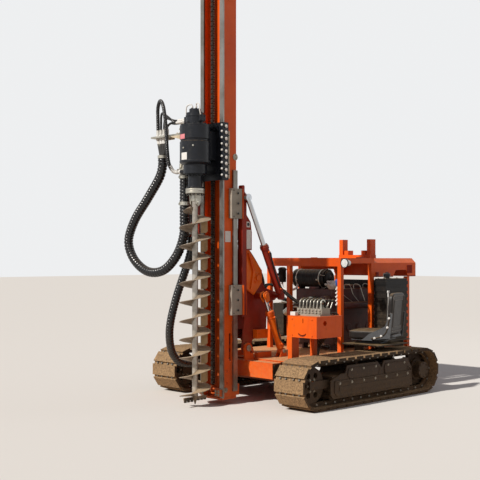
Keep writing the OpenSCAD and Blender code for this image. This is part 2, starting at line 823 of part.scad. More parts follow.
module tilt_cylinder_barrels() {
    color(shade) for (s = side)
        barrel(tilt_foot_x, tilt_foot_z, s * tilt_y, tilt_angle, tilt_barrel_l, tilt_barrel_r,
            tilt_rod_r, 42, 24);
}

module tilt_cylinder_rods() {
    color(steel) for (s = side) rod(tilt_top_x, tilt_top_z, s * tilt_y, tilt_angle, tilt_rod_l,
        tilt_rod_r, 40);
}

// Frame that the mast slides in: two uprights with round tops and wider middles, joined at the back
module slide_frame() {
    in_y = 150;
    top_r = 18;
    top_x = frame_front - 2 * top_r;
    color(shade) {
        for (s = side) {
            plate_xz(min(s * in_y, s * guide_out), max(s * in_y, s * guide_out)) {
                polygon([[frame_back, slide_low], [frame_front, slide_low], [frame_front, slide_high - top_r],
                    [top_x, slide_high - top_r], [top_x, slide_high - 65], [frame_back, slide_high - 105]]);
                translate([frame_front - top_r, slide_high - top_r]) circle(r = top_r);
            }
            plate_xz(min(s * in_y, s * (guide_out - 7)), max(s * in_y, s * (guide_out - 7)))
                polygon([[frame_back, 1970], [868, 1890], [850, 1780], [850, 1593], [frame_back, 1593]]);
            cross_pin(tilt_top_x, tilt_top_z, min(s * in_y, s * guide_out), max(s * in_y,
                s * guide_out), 45);
        }
        difference() {
            block([frame_back, -in_y, slide_low], [frame_back + 16, in_y, slide_high - 120]);
            for (z = [1060, 1480, 1820]) block([frame_back - 5, -90, z], [frame_back + 25, 90, z + 220]);
        }
    }
}

// Kinked brackets from the slide frame to the fold pin, with their stub pins
module fold_brackets() {
    out_y = lug_y + lug_t;
    color(paint) for (s = side) {
        plate_xz(min(s * lug_y, s * out_y), max(s * lug_y, s * out_y)) {
            polygon([[frame_back, 1593], [850, 1593], [fold_x - 75, 1376], [fold_x - 75, 1252], [778, 1121],
                [902, 1190], [frame_back, 1200]]);
            translate([fold_x, fold_z]) circle(r = 76);
        }
        cross_pin(fold_x, fold_z, min(s * (boom_half - boom_plate_t - 5), s * (out_y + 26)),
            max(s * (boom_half - boom_plate_t - 5), s * (out_y + 26)), fold_pin_r);
        plate_xz(min(s * out_y, s * (out_y + 16)), max(s * out_y, s * (out_y + 16)))
            polygon([[873, 1560], [852, 1560], [780, 1376], [820, 1180], [842, 1180], [802, 1376]]);
    }
}

// Guide blocks bolted to the slide frame, each slotted for the mast's back rail
module guide_blocks() {
    slot_x0 = mast_back - slide_gap;
    slot_x1 = mast_back + flange_d + slide_gap;
    color("#9d9a90") for (s = side) for (z = block_zs) {
        difference() {
            block([frame_front, min(s * (mast_w / 2 + slide_gap), s * guide_out), z],
                [slot_x1 + 45, max(s * (mast_w / 2 + slide_gap), s * guide_out), z + block_h]);
            block([slot_x0, min(0, s * (mast_w / 2 + flange_w + slide_gap)), z - 5],
                [slot_x1, max(0, s * (mast_w / 2 + flange_w + slide_gap)), z + block_h + 5]);
        }
        for (k = [0:2]) cross_pin((slot_x0 + slot_x1) / 2, z + 50 + 105 * k,
            min(s * guide_out, s * (guide_out + 8)), max(s * guide_out, s * (guide_out + 8)), 13);
    }
}

// Channel of the mast: two side plates, the web behind the chain and a long slot in each side
module mast_channel() {
    in_y = mast_w / 2 - mast_wall;
    web_x = mast_front - recess_d - 10;
    h = mast_top_z - mast_foot_z;
    color(paint) difference() {
        union() {
            for (s = side) block([mast_back, min(s * in_y, s * mast_w / 2), mast_foot_z],
                [mast_front - rail_t, max(s * in_y, s * mast_w / 2), mast_top_z]);
            block([web_x, -in_y, mast_foot_z], [web_x + 10, in_y, mast_top_z]);
        }
        plate_xz(-mast_w, mast_w) {
            for (z = [460, 720]) translate([mast_back + 90, z]) circle(r = 15);
            translate([mast_back + 75, 460]) square([30, 260]);
        }
        for (z = [220, 340]) cross_pin(mast_back + 130, z, -mast_w, mast_w, 10);
    }
}

// Polished front rails and the back rails that run in the guide blocks
module mast_rails() {
    over = 15;
    color(steel) for (s = side) {
        block([mast_front - rail_t, min(s * (mast_w / 2 + over), s * (mast_w / 2 + over - rail_w)),
            mast_foot_z],
            [mast_front, max(s * (mast_w / 2 + over), s * (mast_w / 2 + over - rail_w)), mast_top_z]);
        block([mast_back, min(s * mast_w / 2, s * (mast_w / 2 + flange_w)), 130],
            [mast_back + flange_d, max(s * mast_w / 2, s * (mast_w / 2 + flange_w)), 2420]);
    }
}

// Feed chain: a row of waisted links the height of the mast
module feed_chain() {
    links = floor((chain_high - chain_low) / chain_pitch);
    step = (chain_high - chain_low) / links;
    edge = concat([for (k = [0:links - 1]) for (c = [[0, 9], [0.16, 19], [0.84, 19]])
        [c[1], chain_low + (k + c[0]) * step]], [[9, chain_high]]);
    color("#2b2826") plate_xz(chain_y - 14, chain_y + 14)
        polygon(concat([for (p = edge) [chain_x + p[0], p[1]]],
            [for (k = [len(edge) - 1:-1:0]) [chain_x - edge[k][0], edge[k][1]]]));
}

// Head of the mast: cap, lifting lugs and the upper chain wheel on its shaft
module mast_head() {
    in_y = mast_w / 2 - mast_wall;
    color(paint) {
        block([mast_back, -mast_w / 2, mast_top_z], [mast_front, mast_w / 2, mast_top_z + 14]);
        difference() {
            plate_xz(-lift_t / 2, lift_t / 2) polygon([[mast_back + 30, mast_top_z + 14],
                [mast_front - 40, mast_top_z + 14],
                [mast_front - 75, mast_top_z + 110], [mast_back + 65, mast_top_z + 110]]);
            cross_pin(lift_x, mast_top_z + 66, -50, 50, lift_r);
        }
        cross_pin(chain_x, chain_high + 40, -in_y, in_y, 14);
        cross_pin(chain_x, chain_high + 40, chain_y - 10, chain_y + 10, 40 - seat_gap);
    }
}

// Foot of the mast: end plate, chain wheel, rubber bumper bracket and the rear bracket
module mast_foot() {
    in_y = mast_w / 2 - mast_wall;
    color(paint) {
        block([mast_back, -mast_w / 2, mast_foot_z - 18], [mast_front, mast_w / 2, mast_foot_z]);
        cross_pin(chain_x, chain_low - 40, -in_y, in_y, 14);
        cross_pin(chain_x, chain_low - 40, chain_y - 10, chain_y + 10, 40 - seat_gap);
        for (s = side) block([mast_front, s * 120 - 35, mast_foot_z + 20], [mast_front + 34,
            s * 120 + 35, mast_foot_z + 90]);
        for (s = side) block([mast_back - 45, min(s * (mast_w / 2 - 26), s * mast_w / 2), mast_foot_z + 15],
            [mast_back, max(s * (mast_w / 2 - 26), s * mast_w / 2), mast_foot_z + 130]);
    }
}

// Cylinder that lifts the mast in its frame: the barrel stands in the channel's back
module slide_cylinder_barrel() {
    color(black) {
        difference() {
            translate([slide_cyl_x, 0, 1180]) cylinder(h = 900, r = 36);
            translate([slide_cyl_x, 0, 1210]) cylinder(h = 900, r = 20 + fit);
        }
        block([frame_back + 16, -60, 1700], [slide_cyl_x - 30, 60, 1760]);
        block([frame_back + 16, -60, 1290], [slide_cyl_x - 30, 60, 1350]);
    }
}

// Rod of that cylinder with its round lug on the mast's back
module slide_cylinder_rod() {
    color(black) {
        translate([slide_cyl_x, 0, 1900]) cylinder(h = lug_z - 1900, r = 20);
        cross_pin(slide_cyl_x - 30, lug_z, -40, 40, 60);
        cross_pin(slide_cyl_x - 30, lug_z, -mast_w / 2 + mast_wall, mast_w / 2 - mast_wall, 22);
    }
}

// Tray on the mast's right side that carries the hoses, with their clamps
module hose_tray() {
    in_y = mast_w / 2;
    out_y = 440;
    color(shade) {
        translate([tray_x, 0, 0]) rotate([90, 0, 90]) linear_extrude(12) polygon([[-in_y,
            tray_low], [-out_y + 120, tray_low],
            [-out_y, tray_low + 150], [-out_y, 2420], [-in_y, 2420]]);
        block([tray_x - 40, -out_y, tray_low + 150], [tray_x, -out_y + 12, 2420]);
        for (z = [2060, 2340]) block([tray_x + 12, run_y - 45, z], [run_x - loop_r - 6, run_y + 30,
            z + 36]);
        block([tray_x + 12, supply_y - 45, tray_low + 10], [supply_x + 44, supply_y + 40, tray_low + 40]);
    }
}

module carriage() {
    color(black) {
        block([carriage_x, -mast_w / 2 - 20, carriage_low], [carriage_x + carriage_t,
            mast_w / 2 + 20, carriage_low + carriage_h]);
        for (z = [carriage_low + 60, carriage_low + carriage_h - 80])
            block([carriage_x + carriage_t, -140, z], [carriage_x + carriage_t + 20, 140, z + 40]);
    }
}

// Side guides of the carriage: each wraps a front rail and carries a row of bolts
module carriage_guides() {
    a = mast_w / 2 + 5;
    b = mast_w / 2 + 20;
    c = mast_w / 2 + 45;
    x0 = mast_front - 50;
    x1 = mast_front - rail_t - slide_gap;
    x2 = carriage_x + carriage_t;
    color(black) for (s = side) {
        translate([0, 0, carriage_low]) linear_extrude(carriage_h)
            polygon([[x0, s * a], [x0, s * c], [x2, s * c], [x2, s * b], [x1, s * b], [x1, s * a]]);
        for (z = [carriage_low + 10, carriage_low + carriage_h - 90])
            block([mast_front - rail_t, min(s * (a + 10.3), s * b), z],
                [mast_front, max(s * (a + 10.3), s * b), z + 80]);
        for (k = [0:8]) cross_pin((x0 + x2) / 2, carriage_low + 40 + k * (carriage_h - 80) / 8,
            min(s * c, s * (c + 9)), max(s * c, s * (c + 9)), 10);
    }
}

module gearbox() {
    color(black) difference() {
        union() {
            translate([auger_x, 0, 0]) rotate_extrude($fn = 72) polygon([[0, neck_z + 0.5], [73,
                neck_z + 0.5], [73, gear_low],
                [120, gear_low], [120, gear_step], [gearbox_r, gear_step + 20], [gearbox_r,
                    gear_high - 158],
                [gearbox_r - 8, gear_high - 150], [gearbox_r - 8, gear_high - 136], [gearbox_r,
                    gear_high - 128],
                [gearbox_r, gear_high], [0, gear_high]]);
            block([carriage_x + carriage_t, -100, gear_step + 60], [auger_x, 100, gear_high - 40]);
            cross_pin(auger_x, port_z, -212, -100, hose_r + 6);
        }
        translate([auger_x, 0, neck_z]) cylinder(h = 60, r = 50 + fit);
    }
}

// Hydraulic motor on top of the gearbox, with its port blocks
module drive_motor() {
    color(black) translate([auger_x, 0, gear_high]) {
        cylinder(h = 30, r = 118);
        translate([0, 0, 30]) cylinder(h = 110, r = 92);
        translate([0, 0, 140]) cylinder(h = 40, r = 60);
        for (k = [0:7]) translate([104 * cos(45 * k), 104 * sin(45 * k), 30]) cylinder(h = 14,
            r = 9, $fn = 6);
        block([-35, -130, 50], [35, -80, 110]);
        block([-35, 80, 50], [35, 120, 110]);
    }
}

// Plate beside the head with its pipe ends, and the hoses under it that run together into a collar
module hose_bracket() {
    arm_y = -gearbox_r - seat_gap;
    end_y = bundle_y - 135;
    color("#c99b6b") {
        block([auger_x - 38, bundle_y + 140, bracket_z], [auger_x + 38, arm_y, bracket_z + 18]);
        block([auger_x - 50, end_y, bracket_z], [auger_x + 50, bundle_y + 140, bracket_z + 18]);
    }
    color("#d9dadb") {
        translate([auger_x, bundle_y, collar_z]) cylinder(h = 30, r = loop_r + 3);
        for (k = [0:3]) {
            y = 75 - 50 * k;
            translate([auger_x, bundle_y + y, bracket_z + 18]) cylinder(h = 70, r = hose_r + 1);
            bar([auger_x, bundle_y + y, bracket_z + 5], [auger_x, bundle_y + 0.3 * y, collar_z + 15], hose_r);
        }
    }
}

// Drive flange, bolted joint and stem of the auger
module auger_stem() {
    color(worn) translate([auger_x, 0, 0]) {
        translate([0, 0, flange_z]) cylinder(h = flange_t, r = 96);
        translate([0, 0, flange_z + flange_t]) cylinder(h = 55, r = 50);
        translate([0, 0, flange_z - 24]) cylinder(h = 24, r = 96);
        for (k = [0:9]) translate([flange_bolt_r * cos(36 * k), flange_bolt_r * sin(36 * k), flange_z - 42])
            cylinder(h = 18, r = 11, $fn = 6);
        translate([0, 0, 110]) cylinder(h = flange_z - 24 - 110, r = stem_r);
    }
}

// Helical flight: a right-hand strip wound about the stem, its lower end cut to a blade
module auger_flight() {
    per_turn = 24;
    low = 110;
    high = 2030;
    n = floor((high - low) / auger_pitch * per_turn);
    inner = stem_r + 2 * seat_gap;
    pts = [for (i = [0:n]) let (a = -360 * i / per_turn, z = high - i * auger_pitch / per_turn,
        outer = inner + (auger_r - inner) * min(1, (i + 2) / 8))
        for (c = [[inner, 0], [inner, -flight_t], [outer, -flight_t], [outer, 0]])
        [auger_x + c[0] * cos(a), c[0] * sin(a), z + c[1]]];
    walls = [for (i = [0:n - 1]) for (k = [0:3]) let (a = 4 * i + k, b = 4 * i + (k + 1) % 4)
        for (f = [[a, b, b + 4], [a, b + 4, a + 4]]) f];
    color(worn) polyhedron(pts, concat(walls, [[3, 2, 1, 0], [4 * n, 4 * n + 1, 4 * n + 2, 4 * n + 3]]));
}

// Pilot point and cutting blades at the auger's lower end
module auger_bit() {
    color(worn) translate([auger_x, 0, 0]) {
        translate([0, 0, auger_tip_z]) cylinder(h = 110 - auger_tip_z, r1 = 4, r2 = stem_r);
        for (k = [0, 180]) rotate([0, 0, k]) translate([stem_r - 6, -8,
            70]) cube([auger_r - stem_r - 6, 16, 28]);
    }
}

module hose_loop() {
    color(black) tube(loop_route, loop_r, 2, [1, 0, 0]);
}

module over_hose() {
    color(black) tube(over_route, hose_r, 2, [1, 0, 0]);
}

module supply_hose() {
    color(black) tube(supply_route, supply_r, 2, [1, 1, 0]);
}

track_left();
track_right();
track_frame_left();
track_frame_right();
front_idlers();
drive_sprockets();
track_rollers();
chassis_frame();
front_beam();
deck();
side_platforms();
engine_frame();
engine_hood();
mast_rest();
engine_block();
air_cleaner();
cooler();
hydraulic_tank();
fuel_tank();
work_lamp();
console();
valve_bank();
control_levers();
seat_pedestal();
seat_cushion();
seat_back();
boom();
boom_cylinder_barrels();
boom_cylinder_rods();
slide_frame();
fold_brackets();
guide_blocks();
tilt_cylinder_barrels();
tilt_cylinder_rods();
mast_channel();
mast_rails();
feed_chain();
mast_head();
mast_foot();
slide_cylinder_barrel();
slide_cylinder_rod();
hose_tray();
carriage();
carriage_guides();
gearbox();
drive_motor();
hose_bracket();
auger_stem();
auger_flight();
auger_bit();
hose_loop();
over_hose();
supply_hose();
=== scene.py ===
import functools
import math

import bpy
import numpy as np
from bpy.props import FloatProperty, FloatVectorProperty, PointerProperty
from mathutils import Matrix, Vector


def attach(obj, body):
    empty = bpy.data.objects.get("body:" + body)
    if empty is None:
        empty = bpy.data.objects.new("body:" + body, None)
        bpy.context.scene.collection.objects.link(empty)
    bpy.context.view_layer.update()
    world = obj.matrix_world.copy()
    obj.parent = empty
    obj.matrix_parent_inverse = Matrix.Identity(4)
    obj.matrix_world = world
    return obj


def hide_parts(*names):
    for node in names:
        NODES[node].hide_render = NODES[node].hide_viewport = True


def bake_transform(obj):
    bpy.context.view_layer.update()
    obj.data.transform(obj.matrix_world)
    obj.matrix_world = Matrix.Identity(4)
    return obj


bl_info = {
    "name": "Crawler auger rig dressing",
    "version": (1, 0, 0),
    "blender": (4, 5, 0),
    "location": "View3D > Sidebar > Rig",
    "description": "Dresses the crawler auger rig's solids with its surface pieces and finishes",
    "category": "Object",
}

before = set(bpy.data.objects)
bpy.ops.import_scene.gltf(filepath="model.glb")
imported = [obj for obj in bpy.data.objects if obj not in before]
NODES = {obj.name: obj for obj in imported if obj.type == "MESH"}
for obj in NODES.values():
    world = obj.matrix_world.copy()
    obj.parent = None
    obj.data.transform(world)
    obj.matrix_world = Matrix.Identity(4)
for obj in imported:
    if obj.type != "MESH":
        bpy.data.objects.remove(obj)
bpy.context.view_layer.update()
TAU = 2 * math.pi
UP, DOWN, AHEAD, LEFT, RIGHT = (0, 0, 1), (0, 0, -1), (1, 0, 0), (0, 1, 0), (0, -1, 0)


# ---------------------------------------------------------------- colours and finishes

def tint(code):
    """A hex sRGB colour turned to linear RGBA, channel by channel with the sRGB curve."""
    values = [int(code[i:i + 2], 16) / 255 for i in (1, 3, 5)]
    return tuple(v / 12.92 if v <= 0.04045 else ((v + 0.055) / 1.055) ** 2.4 for v in values) + (1.0,)


def put(tree, kind, inputs=None, links=None, **settings):
    """Adds one node to a tree, sets its properties and inputs, and links inputs to outputs."""
    n = tree.nodes.new(kind)
    for key, value in settings.items():
        setattr(n, key, value)
    for key, value in (inputs or {}).items():
        n.inputs[key].default_value = value
    for key, source in (links or {}).items():
        tree.links.new(source, n.inputs[key])
    return n


def coating(name, base, second, rough, metallic=0.0, dust="#a88d68", ledge=0.25, low=0.3, low_z=0.6,
            wear="#5a4a40", worn=0.0, grain=2.0, patch=250.0, bump=0.12, coat=0.0, drip=0.0, tread=0.0, shine=0.5):
    """A procedural finish; grain and patch are sizes in millimetres. The colour is the base with slow patches of
    the second colour, worn specks, rain drips stretched along Z, and a veil of dust that noise thickens: ledge of
    it on upward faces, low of it near the ground, up to the height low_z, and tread of it on faces that don't look
    sideways. Roughness and bump follow the same noises."""
    material = bpy.data.materials.new(name)
    material.use_nodes = True
    material.diffuse_color = tint(base)
    tree = material.node_tree
    tree.nodes.clear()
    coord = put(tree, "ShaderNodeTexCoord").outputs["Object"]
    patches = put(tree, "ShaderNodeTexNoise", {"Scale": 1000 / patch, "Detail": 6.0, "Roughness": 0.6},
                  {"Vector": coord})
    grains = put(tree, "ShaderNodeTexNoise", {"Scale": 1000 / grain / 6, "Detail": 5.0, "Roughness": 0.65},
                 {"Vector": coord})
    fleck = put(tree, "ShaderNodeTexNoise", {"Scale": 1000 / patch * 6, "Detail": 8.0, "Roughness": 0.7},
                {"Vector": coord})
    slow = put(tree, "ShaderNodeMapRange", {"From Min": 0.38, "From Max": 0.66}, {"Value": patches.outputs["Fac"]})
    colour = put(tree, "ShaderNodeMix", {6: tint(base), 7: tint(second)}, {0: slow.outputs[0]}, data_type="RGBA")
    last = colour.outputs[2]
    if drip:
        stretch = put(tree, "ShaderNodeMapping", {"Scale": (26.0, 26.0, 1.6)}, {"Vector": coord})
        runs = put(tree, "ShaderNodeTexNoise", {"Scale": 1.0, "Detail": 4.0}, {"Vector": stretch.outputs[0]})
        mask = put(tree, "ShaderNodeMapRange", {"From Min": 0.52, "From Max": 0.72, "To Max": drip},
                   {"Value": runs.outputs["Fac"]})
        last = put(tree, "ShaderNodeMix", {7: tint(wear)}, {0: mask.outputs[0], 6: last},
                   data_type="RGBA").outputs[2]
    if worn:
        specks = put(tree, "ShaderNodeMapRange", {"From Min": 0.60, "From Max": 0.66, "To Max": worn},
                     {"Value": fleck.outputs["Fac"]})
        last = put(tree, "ShaderNodeMix", {7: tint(wear)}, {0: specks.outputs[0], 6: last},
                   data_type="RGBA").outputs[2]
    geometry = put(tree, "ShaderNodeNewGeometry")
    up = put(tree, "ShaderNodeSeparateXYZ", None, {0: geometry.outputs["Normal"]})
    place = put(tree, "ShaderNodeSeparateXYZ", None, {0: coord})
    flat = put(tree, "ShaderNodeMapRange", {"From Min": 0.45, "From Max": 0.95, "To Max": ledge},
               {"Value": up.outputs["Z"]})
    ground = put(tree, "ShaderNodeMapRange", {"From Min": low_z, "From Max": 0.0, "To Max": low},
                 {"Value": place.outputs["Z"]})
    veil = put(tree, "ShaderNodeMath", None, {0: flat.outputs[0], 1: ground.outputs[0]}, operation="ADD")
    if tread:
        sideways = put(tree, "ShaderNodeMath", None, {0: up.outputs["Y"]}, operation="ABSOLUTE")
        rubbed = put(tree, "ShaderNodeMapRange", {"From Min": 0.75, "From Max": 0.30, "To Max": tread},
                   {"Value": sideways.outputs[0]})
        veil = put(tree, "ShaderNodeMath", None, {0: veil.outputs[0], 1: rubbed.outputs[0]}, operation="ADD")
    cloud = put(tree, "ShaderNodeMapRange", {"From Min": 0.35, "From Max": 0.65, "To Min": 0.35, "To Max": 1.5},
                {"Value": fleck.outputs["Fac"]})
    dusty = put(tree, "ShaderNodeMath", None, {0: veil.outputs[0], 1: cloud.outputs[0]}, operation="MULTIPLY",
                use_clamp=True)
    last = put(tree, "ShaderNodeMix", {7: tint(dust)}, {0: dusty.outputs[0], 6: last}, data_type="RGBA").outputs[2]
    gloss = put(tree, "ShaderNodeMapRange", {"From Min": 0.3, "From Max": 0.7, "To Min": max(0.05, rough - 0.08),
                                             "To Max": min(1.0, rough + 0.12)}, {"Value": fleck.outputs["Fac"]})
    soften = put(tree, "ShaderNodeMath", {1: 0.5}, {0: dusty.outputs[0], 2: gloss.outputs[0]},
                 operation="MULTIPLY_ADD", use_clamp=True)
    height = put(tree, "ShaderNodeMath", {1: 0.6}, {0: patches.outputs["Fac"], 2: grains.outputs["Fac"]},
                 operation="MULTIPLY_ADD")
    relief = put(tree, "ShaderNodeBump", {"Strength": bump, "Distance": 0.002}, {"Height": height.outputs[0]})
    shader = put(tree, "ShaderNodeBsdfPrincipled", {"Metallic": metallic, "Specular IOR Level": shine},
                 {"Base Color": last, "Roughness": soften.outputs[0], "Normal": relief.outputs[0]})
    if coat:
        shader.inputs["Coat Weight"].default_value = coat
        shader.inputs["Coat Roughness"].default_value = 0.25
    put(tree, "ShaderNodeOutputMaterial", None, {"Surface": shader.outputs[0]})
    return material


# ---------------------------------------------------------------- mesh tools

def piece(name, points, faces, key, body="chassis", slot=None, uv=None, smooth=False, bevel=0.0):
    """One mesh object from an array of points and a list of faces, in the finish of one recipe, riding on a body."""
    mesh = bpy.data.meshes.new(name)
    mesh.from_pydata(np.asarray(points, float).tolist(), [], [list(map(int, f)) for f in faces])
    if uv is not None:
        layer = mesh.uv_layers.new(name="UVMap")
        corner = np.empty(len(mesh.loops), dtype=np.int32)
        mesh.loops.foreach_get("vertex_index", corner)
        layer.data.foreach_set("uv", np.asarray(uv, np.float32)[corner].ravel())
    if smooth:
        mesh.polygons.foreach_set("use_smooth", np.ones(len(mesh.polygons), dtype=bool))
    mesh.validate()
    mesh.update()
    made = bpy.data.objects.new(name, mesh)
    bpy.context.scene.collection.objects.link(made)
    mesh.materials.append(finish(key))
    if bevel:
        soft = made.modifiers.new("Edge", "BEVEL")
        soft.width = bevel
        soft.segments = 2
        soft.limit_method = "ANGLE"
        soft.angle_limit = math.radians(40)
    if body:
        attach(made, body)
    return made


def ring_faces(rows, count, closed=True):
    """The faces of rows of rings with count points each: quads from each ring to the next, and the two ends."""
    i, k = np.meshgrid(np.arange(rows - 1), np.arange(count), indexing="ij")
    n = (k + 1) % count
    quads = np.stack([i * count + k, i * count + n, (i + 1) * count + n, (i + 1) * count + k], -1)
    ends = [range(count)[::-1], range((rows - 1) * count, rows * count)] if closed else []
    return quads.reshape(-1, 4).tolist() + [list(end) for end in ends]


class Heap:
    """Collects boxes, turned shapes, swept tubes and folded strips, then makes one piece of them all."""

    def __init__(self):
        self.points, self.faces, self.count = [], [], 0

    def add(self, points, faces):
        """Takes in points and the faces that number them."""
        points = np.asarray(points, float).reshape(-1, 3)
        self.points.append(points)
        self.faces.extend([tuple(int(i) + self.count for i in f) for f in faces])
        self.count += len(points)
        return self

    def box(self, low, high, turn=None, about=None):
        """The eight corners of a box, turned by a 3x3 matrix about a point where one is given."""
        low, high = np.minimum(low, high), np.maximum(low, high)
        pick = np.array([[0, 0, 0], [1, 0, 0], [1, 1, 0], [0, 1, 0], [0, 0, 1], [1, 0, 1], [1, 1, 1], [0, 1, 1]])
        corners = low + pick * (high - low)
        if turn is not None:
            centre = np.asarray(about if about is not None else (low + high) / 2, float)
            corners = (corners - centre) @ np.asarray(turn).T + centre
        return self.add(corners, [(0, 3, 2, 1), (4, 5, 6, 7), (0, 1, 5, 4), (1, 2, 6, 5), (2, 3, 7, 6), (3, 0, 4, 7)])

    def lathe(self, foot, axis, profile, sides=20, closed=True):
        """A profile of (distance along the axis, radius) turned about an axis from the foot point."""
        foot, axis = np.asarray(foot, float), np.asarray(axis, float) / np.linalg.norm(axis)
        across = np.cross(axis, [0.0, 0, 1]) if abs(axis[2]) < 0.9 else np.cross(axis, [1.0, 0, 0])
        across /= np.linalg.norm(across)
        other = np.cross(axis, across)
        profile = np.asarray(profile, float)
        angle = TAU * np.arange(sides) / sides
        ring = np.cos(angle)[:, None] * across + np.sin(angle)[:, None] * other
        points = foot + profile[:, :1, None] * axis + profile[:, 1:, None] * ring[None]
        return self.add(points.reshape(-1, 3), ring_faces(len(profile), sides, closed))

    def disc(self, foot, axis, radius, height, sides):
        """A short cylinder, or a nut where it has six sides."""
        return self.lathe(foot, axis, [(0, radius), (height, radius)], sides)

    def stud(self, foot, axis, radius, straight, height, tip, sides):
        """A head that is straight for a way, then narrows to the tip's radius at its height."""
        return self.lathe(foot, axis, [(0, radius), (straight, radius), (height, tip)], sides)

    def bolt(self, seat, axis, radius=0.009, height=0.008):
        """A hexagonal bolt head on a washer."""
        seat, axis = np.asarray(seat, float), np.asarray(axis, float) / np.linalg.norm(axis)
        self.disc(seat, axis, radius * 1.5, height * 0.25, 14)
        return self.stud(seat + axis * height * 0.25, axis, radius, height * 0.85, height, radius * 0.82, 6)

    def sweep(self, path, outline, up):
        """An outline of (across, up) points carried along a path, its up direction kept near the one given."""
        path, outline = np.asarray(path, float), np.asarray(outline, float)
        along = np.gradient(path, axis=0)
        along /= np.linalg.norm(along, axis=1)[:, None]
        across = np.cross(along, np.asarray(up, float))
        across /= np.linalg.norm(across, axis=1)[:, None]
        over = np.cross(across, along)
        points = path[:, None] + outline[None, :, :1] * across[:, None] + outline[None, :, 1:] * over[:, None]
        return self.add(points.reshape(-1, 3), ring_faces(len(path), len(outline)))

    def tube(self, path, radius, sides=12):
        """A round tube along a path, its rings carried with the least turn from one to the next."""
        points, faces, _uv = tube_grid(path, radius, sides)
        return self.add(points, faces)

    def pipe(self, route, step, radius, sides):
        """A round tube on the smooth curve through a route's points."""
        return self.tube(smooth_path(route, step), radius, sides)

    def rod(self, start, end, radius, sides, count):
        """A straight round tube with count rings."""
        return self.tube(np.linspace(start, end, count), radius, sides)

    def slab(self, outline, low, high, axis=1):
        """A flat outline of two coordinates extruded from low to high along the third axis."""
        outline = np.asarray(outline, float)
        others = [a for a in range(3) if a != axis]
        count = len(outline)
        points = np.zeros((2 * count, 3))
        points[:, others] = np.vstack([outline, outline])
        points[:count, axis], points[count:, axis] = low, high
        x, y = outline[:, 0], outline[:, 1]
        area = np.sum(x * np.roll(y, -1) - y * np.roll(x, -1))
        flip = (area > 0) == (axis != 1)
        ring = [(k, (k + 1) % count, (k + 1) % count + count, k + count) for k in range(count)]
        faces = [tuple(range(count))[::-1], tuple(range(count, 2 * count))] + ring
        if not flip:
            faces = [f[::-1] for f in faces]
        return self.add(points, faces)

    def make(self, name, key, body="chassis", **settings):
        """One piece of all that was collected."""
        return piece(name, np.vstack(self.points), self.faces, key, body, **settings)


def heaps(count):
    """As many empty heaps as asked for."""
    return [Heap() for _ in range(count)]


def smooth_path(route, step=0.02):
    """A Catmull-Rom curve through the route's points, sampled about every step metres and evened by length."""
    p = np.asarray(route, float)
    p = np.vstack([p[:1], p, p[-1:]])
    t = np.linspace(0, 1, 24, endpoint=False)[:, None]
    runs = [0.5 * (2 * b + (c - a) * t + (2 * a - 5 * b + 4 * c - d) * t ** 2 + (3 * b - a - 3 * c + d) * t ** 3)
            for a, b, c, d in zip(p[:-3], p[1:-2], p[2:-1], p[3:])]
    q = np.vstack(runs + [p[-1:]])
    far = np.concatenate([[0], np.cumsum(np.linalg.norm(np.diff(q, axis=0), axis=1))])
    even = np.linspace(0, far[-1], max(4, int(round(far[-1] / step)) + 1))
    return np.stack([np.interp(even, far, q[:, k]) for k in range(3)], 1)


def tube_frames(path):
    """For each point of a path, its direction and two side directions that turn as little as they can."""
    along = np.gradient(path, axis=0)
    along /= np.linalg.norm(along, axis=1)[:, None]
    side = np.cross(along[0], [0.3, 0.2, 1.0])
    side /= np.linalg.norm(side)
    sides = [side]
    for t in along[1:]:
        side = side - t * np.dot(side, t)
        side = side / np.linalg.norm(side)
        sides.append(side)
    sides = np.array(sides)
    return along, sides, np.cross(along, sides)


def tube_grid(path, radius, sides=12):
    """Points, faces and UVs of a closed tube: ring k at path point k, u the length in metres, v the turn. The
    radius is one number, one for each ring, or one for each point of each ring."""
    path = np.asarray(path, float)
    _along, u, v = tube_frames(path)
    angle = TAU * np.arange(sides) / sides
    r = np.reshape(radius, (len(path), -1)) if np.ndim(radius) else radius
    r = np.broadcast_to(r, (len(path), sides))[..., None]
    ring = np.cos(angle)[None, :, None] * u[:, None] + np.sin(angle)[None, :, None] * v[:, None]
    points = (path[:, None] + r * ring).reshape(-1, 3)
    far = np.concatenate([[0], np.cumsum(np.linalg.norm(np.diff(path, axis=0), axis=1))])
    uv = np.stack([np.repeat(far, sides), np.tile(np.arange(sides) / sides, len(path))], 1)
    return points, ring_faces(len(path), sides), uv


# ---------------------------------------------------------------- settings

class RigHoseSettings(bpy.types.PropertyGroup):
    """Sizes of the hydraulic hoses"""
    loop: FloatProperty(name="Loop bundle", description="Radius of the bundle that hangs from the head", default=0.050,
                        unit="LENGTH")
    supply: FloatProperty(name="Supply bundle", description="Radius of the bundle to the chassis", default=0.044,
                          unit="LENGTH")
    line: FloatProperty(name="Single hose", description="Radius of one guarded hose", default=0.0195, unit="LENGTH")
    turn: FloatProperty(name="Guard turn", description="Distance from one turn of the guard to the next",
                        default=0.034, unit="LENGTH")


class RigPaintSettings(bpy.types.PropertyGroup):
    """Sizes of bolt heads and weld beads"""
    bolt: FloatProperty(name="Bolt radius", description="Radius of a usual bolt head", default=0.011, unit="LENGTH")
    weld: FloatProperty(name="Weld radius", description="Radius of a fillet weld bead", default=0.005, unit="LENGTH")


class RigStageSettings(bpy.types.PropertyGroup):
    """Colour of the floor"""
    floor: FloatVectorProperty(name="Floor", description="Colour of the floor", default=(0.74, 0.73, 0.71),
                               subtype="COLOR")


# ---------------------------------------------------------------- finishes of this machine

